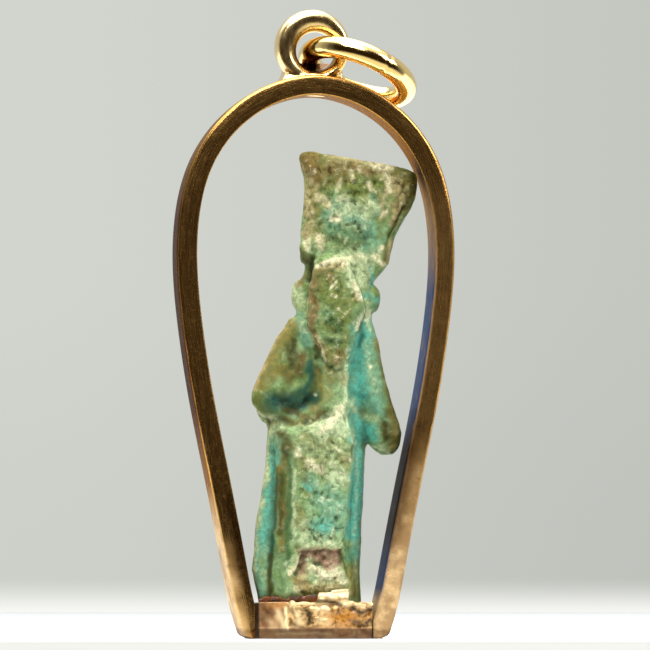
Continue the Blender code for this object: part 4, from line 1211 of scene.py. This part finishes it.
        # darker along the bottom 0.46 mm, and the left leg's outer side darkened between 8 and 24 mm high
        dusky = clamp01((share - 0.90) / 0.06) * (x <= 0) * clamp01((z - 8.0) / 3.0) * clamp01((24.0 - z) / 4.0)
        grime_and_shade = clamp01((0.46 - z) / 0.06) * 0.55 + 0.85 * dusky + 0.30 * edges
        grime_and_shade += 0.7 * clamp01((0.62 - share + 0.2 * broad) / 0.35) * (x <= 0) * clamp01((8 - z) / 2)
        inner = clamp01((0.62 + 0.1 * patchy - share) / 0.4) * (x > 0)
        grime_and_shade += 0.7 * inner * clamp01((z - 2.8) / 2.5) * clamp01((11 - z) / 2)
        frost = np.maximum(np.maximum(right, left), low_side)
        return {"stain": 0.95 * stain, "frost": frost, "grime_and_shade": clamp01(grime_and_shade)}


@dataclass
class HangingLoop:
    """The bail: a thick cast loop on a short neck, its flared foot soldered to the top of the band."""

    radius_mm: float = 1.81
    hole_mm: float = 0.93
    hole_shift: tuple[float, float] = (0.16, -0.20)
    neck_mm: float = 1.30
    foot_mm: float = 2.25
    sill_mm: float = 27.08
    sill_rise_mm: float = 0.62
    voxel_mm: float = 0.045
    ease_passes: int = 6
    gold: WornGold = field(default_factory=lambda: WornGold("cast_gold", "#F0D498", "#6A4A20", 0.24, 0.16))
    lumps: tuple[tuple[float, float, float, float], ...] = (
        (337, 69, 5.0, 0.12), (345, 75, 5.0, 0.14), (331, 73, 4.0, 0.08), (283, 76, 5.0, 0.16),
        (323, 65, 3.0, 0.08),
    )

    def ring_form(self, centre: Pixel, middle: float, depth: float) -> Form:
        """The loop round its hole, which lies off the middle, from its centre and half depth in mm."""
        hole = (centre[0] + self.hole_shift[0], centre[1] + self.hole_shift[1])
        around, across = 120, 28
        points = []
        for i in range(around):
            a = 2 * math.pi * i / around
            c, s = math.cos(a), math.sin(a)
            toward = c * self.hole_shift[0] + s * self.hole_shift[1]
            reach = -toward + math.sqrt(self.radius_mm**2 - sum(v * v for v in self.hole_shift) + toward**2)
            for k in range(across):
                b = 2 * math.pi * (k + 0.5) / across
                wide = 0.5 + 0.5 * bulge(math.cos(b), 0.85)
                r = self.hole_mm + (reach - self.hole_mm) * wide
                y = depth * (0.80 + 0.20 * wide) * bulge(math.sin(b), 0.70)
                points.append((hole[0] + r * c, middle + y, hole[1] + r * s))
        return points, tube_faces(around, across, True)

    def foot_form(self, centre: float, middle: float, depth: float, top: float) -> Form:
        """The neck and the foot that flares along the band, from the middles, half depth and band top in mm."""
        points, rows, count = [], 14, 40
        for i in range(rows):
            share = i / (rows - 1)
            base = top - 0.55
            level = base + (self.sill_mm - base) * share
            rise = max(0.0, (level - top + 0.45) / 0.95)
            wide = self.neck_mm + (self.foot_mm - self.neck_mm) * max(0.0, 1 - rise) ** 2.2
            deep = depth * (0.86 + 0.30 * max(0.0, 1 - rise) ** 2)
            for k in range(count):
                a = 2 * math.pi * k / count
                x, y = wide * bulge(math.cos(a), 0.5), deep * bulge(math.sin(a), 0.5)
                lift = self.sill_rise_mm * share**4 * min(1.0, max(0.0, 0.2 + y / deep))
                points.append((centre + x, middle + y, level + lift - 0.10 * x * x * max(0.0, 1 - rise)))
        return points, tube_faces(rows, count, False)

    def build(self, outer: Array) -> Object:
        """Make the bail.

        Args:
            outer: The band's outer edge in mm.

        Returns:
            The bail piece.
        """
        low, high = in_mm(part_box("bail"))
        centre = (-0.07, high[2] + 0.10 - self.radius_mm)
        depth, middle, top = (high[1] - low[1]) / 2, (high[1] + low[1]) / 2, outer[:, 1].max()
        forms = [self.ring_form(centre, middle, depth), self.foot_form(-0.02, middle, depth, top)]
        mesh, points, _, _ = grown_skin(*joined(forms), self.voxel_mm, self.ease_passes)
        spots = VIEW.pixels(points)
        facing = clamp01((middle - points[:, 1]) / depth)
        for px, py, size, rise in self.lumps:
            away = ((spots[:, 0] - px) ** 2 + (spots[:, 1] - py) ** 2) / size**2
            points[:, 1] -= rise * np.exp(-away) * facing
        points[:, 1] -= 0.018 * lattice_noise(points, 0.6, 33) * facing
        hole = np.array(centre) + self.hole_shift
        away = np.linalg.norm(points[:, ::2] - hole, axis=1)
        # painted shade: the lower inside wall of the hole is darkened
        dark = clamp01((self.hole_mm + 0.13 - away) / 0.12) * clamp01((centre[1] + 0.2 - points[:, 2]) / 0.5)
        piece = skin_piece("bail_loop", mesh, points, {"grime_and_shade": dark}, self.gold.build())
        return settle(piece, "yellow_gold", "bail")


@dataclass
class WireRing:
    """The jump ring: round wire bent and soldered shut, lying where the CAD ring lies."""

    around: int = 180
    across: int = 36
    seam_at: float = 2.5
    gold: WornGold = field(default_factory=lambda: WornGold("bright_gold", "#F8DA92", "#7A5626", 0.13, 0.12))

    def build(self) -> Object:
        """Make the ring.

        Returns:
            The ring piece.
        """
        cloud = node_points("jump_ring")
        centre = cloud.mean(axis=0)
        _, _, directions = np.linalg.svd(cloud - centre, full_matrices=False)
        long_way, short_way, normal = directions
        flat = cloud - centre
        height = flat @ normal
        radial = np.linalg.norm(flat - height[:, None] * normal, axis=1)
        radius, wire = (radial.max() + radial.min()) / 2, (radial.max() - radial.min()) / 2
        points = []
        for i in range(self.around):
            a = 2 * math.pi * i / self.around
            spoke = math.cos(a) * long_way + math.sin(a) * short_way
            pinch = 1 - 0.07 * math.exp(-(((a - self.seam_at) / 0.03) ** 2)) + 0.012 * math.sin(3 * a + 1)
            for k in range(self.across):
                b = 2 * math.pi * k / self.across
                spot = (radius + pinch * wire * math.cos(b)) * spoke + pinch * wire * math.sin(b) * normal
                points.append(centre + spot)
        faces = tube_faces(self.around, self.across, True)
        piece = add_piece("wire_ring", np.array(points), faces, self.gold.build())
        return settle(piece, "yellow_gold", "jump_ring")


# Each row: a blob's column and row, its half sizes, all in pixels, and its rise in hundredths of a mm.
SOLDER: Rows = (
    (291, 613, 6, 9, 7), (300, 618, 8, 9, 9), (303, 609, 8, 5, 8), (314, 611, 6, 6, 10), (317, 621, 8, 7, 8),
    (325, 611, 7, 6, 10), (328, 622, 8, 6, 7), (338, 610, 6, 5, 10), (344, 619, 11, 9, 5), (356, 616, 7, 8, 7),
    (363, 611, 6, 5, 10), (368, 621, 5, 6, 6), (345, 605, 5, 4, 13), (352, 604, 4, 4, 10), (360, 605, 6, 3, 14),
    (371, 604, 3, 3, 14), (293, 603, 3.6, 3.4, 20), (306, 603, 10, 2, 10), (322, 600, 5, 3, 12),
    (333, 599, 6, 4, 14), (344, 598, 5, 4, 12),
)
# Painted highlights on the crests, edges and tab, dirt with a painted shadow under the tab, and amber on the
# front plate, in rows like those of PAINT.
CRUST_LINES: dict[str, Rows] = {
    # painted highlights: the plate's left edge, the tab's top, the rim line and its bead, bright dots on the
    # crust, and a streak on the bottom bevel
    "crest_highlight": (
        (7, 100, 287, 609, 286, 620, 287, 629), (16, 100, 320, 596, 333, 594, 348, 594),
        (12, 100, 335, 591, 348, 592), (5, 100, 296, 603, 317, 603), (16, 100, 292, 603, 294, 603),
        (12, 100, 341, 604, 350, 603), (10, 80, 356, 605, 364, 606), (10, 100, 371, 604, 373, 603),
        (14, 80, 318, 609, 326, 608), (12, 70, 297, 612, 300, 618, 298, 624), (14, 60, 320, 620, 328, 622),
        (13, 65, 278, 612, 281, 619, 284, 627), (16, 30, 268, 620, 274, 626),
        (6, 30, 276, 634, 300, 633, 330, 634),
    ),
    "grime_and_shade": (
        (20, 55, 262, 604, 268, 610, 264, 618), (9, 100, 307, 611, 311, 616, 309, 623),
        # (9, 90, 318, 601, ...) is a painted shadow under the tab
        (9, 90, 318, 601, 334, 602, 340, 606), (10, 90, 352, 609, 360, 613, 372, 610),
        (14, 80, 354, 622, 364, 626, 372, 620), (8, 60, 292, 622, 300, 628, 316, 627),
        (6, 80, 340, 607, 337, 612),
    ),
    "amber": (
        (12, 50, 268, 606, 284, 606), (36, 100, 337, 617, 346, 619, 354, 617), (22, 80, 344, 612, 352, 613),
        (16, 80, 366, 615, 372, 614),
    ),
}


@dataclass
class BaseCup:
    """The cup between the legs: a floor with two soldered plates, the front one crusted, and a folded tab."""

    plate_mm: float = 0.26
    floor_mm: float = 0.40
    height_mm: float = 1.74
    bed_mm: float = 1.12
    bevel_level_mm: float = 0.45
    voxel_mm: float = 0.036
    middle_column: float = 316.5
    column_mm: float = 0.0483
    crust_left: float = 286.5
    crust_low: float = 629.0
    seam_left: float = 259.5
    gold: SolderedGold = field(default_factory=SolderedGold)
    resin: AgedResin = field(default_factory=AgedResin)

    def at(self, column: float, row: float) -> Pixel:
        """The place (x, z) in mm, on the front plate, of a spot in the picture."""
        return (column - self.middle_column) * self.column_mm, (VIEW.ground_row - row) * VIEW.pixel_mm

    def plate(self, name: str, forms: Sequence[Form], finish: Material,
              rough_mm: float) -> Object:
        """Make a piece from overlapping forms, with a cast or a crusted skin.

        Args:
            name: The piece's name.
            forms: The forms, in mm.
            finish: Its material.
            rough_mm: Height of the lumps in its skin.

        Returns:
            The piece, with the weights that its material reads.
        """
        mesh, points, edges, normals = grown_skin(*joined(forms), self.voxel_mm, 2)
        spots = VIEW.pixels(points)
        ragged = lattice_noise(points, 0.45, 41)
        facing = clamp01(-normals[:, 1] * 2)
        level = clamp01((points[:, 2] - self.bevel_level_mm) / 0.05)
        crust = clamp01((spots[:, 0] - self.crust_left + 1.2 * ragged) / 1.5)
        crust *= clamp01((self.crust_low + 2.5 * ragged - spots[:, 1]) / 3)
        crust = np.maximum(crust, clamp01((points[:, 2] - self.height_mm + 0.02) / 0.05)) * level
        lumps = 0.6 * lattice_noise(points, 0.30, 42) + 0.4 * lattice_noise(points, 0.14, 43)
        # the pale crest colour on the lump tops is painted highlight
        weights = {"crust": crust, "crest_highlight": 0.5 * clamp01(lumps - 0.25), "amber": np.zeros(len(points)),
                   # darker below bevel_level_mm; left of seam_left the seam filler is painted dark as shade in
                   # the gap at the left foot
                   "grime_and_shade": np.maximum(0.66 * (1 - level), clamp01(self.seam_left - spots[:, 0]))}
        drift = drift_noise(points, 0.25, (45, 46), 1.4)
        for kind, rows in CRUST_LINES.items():
            for width, strength, *line in rows:
                near = line_distance(spots + drift, line) * VIEW.pixel_mm / (width / 100)
                weight = strength / 100 * np.exp(-0.5 * near**2) * np.maximum(facing, 0.4)
                weights[kind] = np.maximum(weights[kind], weight)
        lift = rough_mm * (0.25 + 0.75 * crust) * lumps
        lift -= 0.03 * (1 - level) * facing + 0.03 * weights["grime_and_shade"] * level
        carved = eased(points + normals * lift[:, None], edges, 1)
        carved[:, 2] = np.maximum(carved[:, 2], 0.0)
        return skin_piece(name, mesh, carved, weights, finish)

    def build(self) -> list[Object]:
        """Make the plates with the solder and the tab, and the resin.

        Returns:
            The pieces.
        """
        low, high = in_mm(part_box("base_cup"))
        band_low, band_high = in_mm(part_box("frame_band"))
        front, back = band_low[1] + 0.07, band_high[1] - 0.07
        metal = self.gold.build()
        forms = [box_form((low[0], front, 0.0), (high[0], front + self.plate_mm, self.height_mm))]
        for column, row, wide, high_half, rise in SOLDER:
            x, z = self.at(column, row)
            half = (wide * self.column_mm, rise / 100 + 0.08, high_half * VIEW.pixel_mm)
            forms.append(egg_form((x, front + 0.08, z), half))
        for left, right, foot, tip, shift, slant in (
            (318, 349, 603, 595.0, -0.06, 0.05), (319, 336, 600, 592.5, 0.05, 0.03),
            (332, 349, 598, 590.0, 0.03, 0.06),
        ):
            (x0, z0), (x1, z1) = self.at(left, foot), self.at(right, tip)
            points, faces = box_form((x0, front + shift, z0), (x1, front + shift + 0.22, z1))
            leant = [(x, y + slant * (z - z0) / (z1 - z0), z + slant * (x - x0) / (x1 - x0))
                     for x, y, z in points]
            forms.append((leant, faces))
        front_plate = settle(self.plate("front_plate", forms, metal, 0.035), "rose_gold", "base_cup")
        wall = [box_form((low[0], back - self.plate_mm, 0.0), (high[0], back, self.height_mm))]
        # a box closes the gap at the left foot; it is painted dark as shade there
        seam = (low[0] - 0.30, front + 0.12, 0.0), (low[0] + 0.12, back - 0.1, self.height_mm - 0.04)
        floor = (low[0] + 0.03, front + 0.1, 0.02), (high[0] - 0.03, back - 0.1, self.floor_mm)
        wall += [box_form(*seam), box_form(*floor)]
        back_plate = settle(self.plate("back_plate", wall, metal, 0.012), "rose_gold")
        bed_low, bed_high = in_mm(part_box("cement_fill"))
        inner = front + self.plate_mm
        fill = [box_form((bed_low[0], inner + 0.01, bed_low[2]),
                         (bed_high[0], back - self.plate_mm, self.bed_mm))]
        # strips of resin raised above the front plate's rim: partly a dark resin lip, partly painted shade at the
        # figure's foot
        for left, right, tip in ((260, 319, 598.5), (264, 282, 597), (290, 306, 596.5), (300, 318, 595)):
            (x0, _), (x1, z1) = self.at(left, tip), self.at(right, tip)
            fill.append(box_form((x0, inner - 0.02, 0.9), (x1, inner + 0.22, z1)))
        bed = settle(self.plate("resin_bed", fill, self.resin.build(), 0.10), "resin", "cement_fill")
        return [front_plate, back_plate, bed]


@dataclass
class LightTent:
    """The table and its light: a white slab with its front edge close, and raised softboxes."""

    slab_mm: tuple[float, float, float] = (560.0, 300.0, 40.0)
    front_mm: float = 11.0
    wall_left: str = "#D2D5CE"
    wall_right: str = "#C4C6C0"

    def build_slab(self) -> Object:
        """Lay the white slab that the amulet stands on."""
        wide, deep, thick = self.slab_mm
        shape = bmesh.new()
        bmesh.ops.create_cube(shape, size=1.0)
        bmesh.ops.scale(shape, vec=(wide, deep, thick), verts=shape.verts)
        bmesh.ops.translate(shape, vec=(0.0, deep / 2 - self.front_mm, -thick / 2 - 0.02), verts=shape.verts)
        bmesh.ops.bevel(shape, geom=shape.edges, offset=0.06, segments=3, profile=0.5, affect="EDGES")
        bmesh.ops.scale(shape, vec=(MM, MM, MM), verts=shape.verts)
        mesh = bpy.data.meshes.new("white_slab")
        shape.to_mesh(mesh)
        shape.free()
        material, _, shader, _ = new_material("white_acrylic")
        feed(shader, {"Base Color": linear("#F6FBFF"), "Roughness": 0.45})
        mesh.materials.append(material)
        slab = bpy.data.objects.new("white_slab", mesh)
        bpy.context.scene.collection.objects.link(slab)
        return slab

    def build_room(self) -> None:
        """Surround the slab: a pale wall behind, white overhead, and a dark room where the camera stands."""
        world = bpy.data.worlds.new("light_tent")
        bpy.context.scene.world = world
        world.use_nodes = True
        add = partial(put, world.node_tree)
        way = add("TexCoord", {}, "Generated")
        across, away, up = (add("SeparateXYZ", {0: way}, axis) for axis in "XYZ")
        side = add("MapRange", {0: away, 1: -0.55, 2: 0.25}, **SMOOTH)
        level = add("Mix", {0: side, 6: (0.020, 0.011, 0.002, 1), 7: (0.62, 0.63, 0.62, 1)}, **COLOURS)
        roof = add("MapRange", {0: up, 1: 0.58, 2: 0.76}, **SMOOTH)
        room = add("Mix", {0: roof, 6: level, 7: (1.15, 1.14, 1.10, 1)}, **COLOURS)
        below = add("MapRange", {0: up, 1: -0.34, 2: -0.66}, **SMOOTH)
        room = add("Mix", {0: below, 6: room, 7: (1.15, 1.08, 0.90, 1)}, **COLOURS)
        spread = add("MapRange", {0: across, 1: 0.065, 2: 0.155}, **SMOOTH)
        wall = add("Mix", {0: spread, 6: linear(self.wall_left), 7: linear(self.wall_right)}, **COLOURS)
        dim = add("MapRange", {0: up, 1: 0.0, 2: 0.04, 3: 0.95, 4: 1.0}, **SMOOTH)
        dim = add("CombineColor", {0: dim, 1: dim, 2: dim})
        wall = add("Mix", {0: 1.0, 6: wall, 7: dim}, **TINTED)
        rise = add("MapRange", {0: up, 1: -0.0056, 2: 0.0}, **SMOOTH)
        wall = add("Mix", {0: rise, 6: (1.0, 1.0, 0.96, 1), 7: wall}, **COLOURS)
        seen = add("LightPath", {}, "Is Camera Ray")
        shown = add("Mix", {0: seen, 6: room, 7: wall}, **COLOURS)
        feed(world.node_tree.nodes["Background"], {"Color": shown})

    def build_lamps(self) -> None:
        """Hang the softboxes: one overhead and behind, one high in front, and a weak one on the right."""
        for name, place, size, power, tint in (
            ("overhead_softbox", (-0.02, 0.04, 0.16), 0.22, 0.40, (1.0, 0.98, 0.94)),
            ("front_softbox", (-0.04, -0.13, 0.19), 0.15, 0.50, (1.0, 0.97, 0.90)),
            ("side_softbox", (0.13, -0.07, 0.10), 0.08, 0.15, (1.0, 0.98, 0.93)),
        ):
            data = bpy.data.lights.new(name, "AREA")
            data.shape, data.size, data.energy, data.color = "SQUARE", size, power, tint
            lamp = bpy.data.objects.new(name, data)
            lamp.location = place
            lamp.rotation_euler = (Vector((0, 0, 0.014)) - Vector(place)).to_track_quat("-Z", "Y").to_euler()
            bpy.context.scene.collection.objects.link(lamp)

    def build(self) -> None:
        """Build slab, room and lamps, and keep the tones as they are lit."""
        self.build_slab()
        self.build_room()
        self.build_lamps()
        bpy.context.scene.view_settings.view_transform = "Standard"
        bpy.context.scene.view_settings.look = "None"


def main() -> None:
    """Build the amulet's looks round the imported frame."""
    logging.basicConfig(level=logging.INFO, format="%(name)s: %(message)s")
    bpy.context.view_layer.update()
    VIEW.build()
    GlazedFigure().build()
    band = PendantFrame()
    band.build()
    outer, _ = band.outline()
    HangingLoop().build(outer)
    WireRing().build()
    BaseCup().build()
    LightTent().build()


if __name__ == "__main__":
    main()
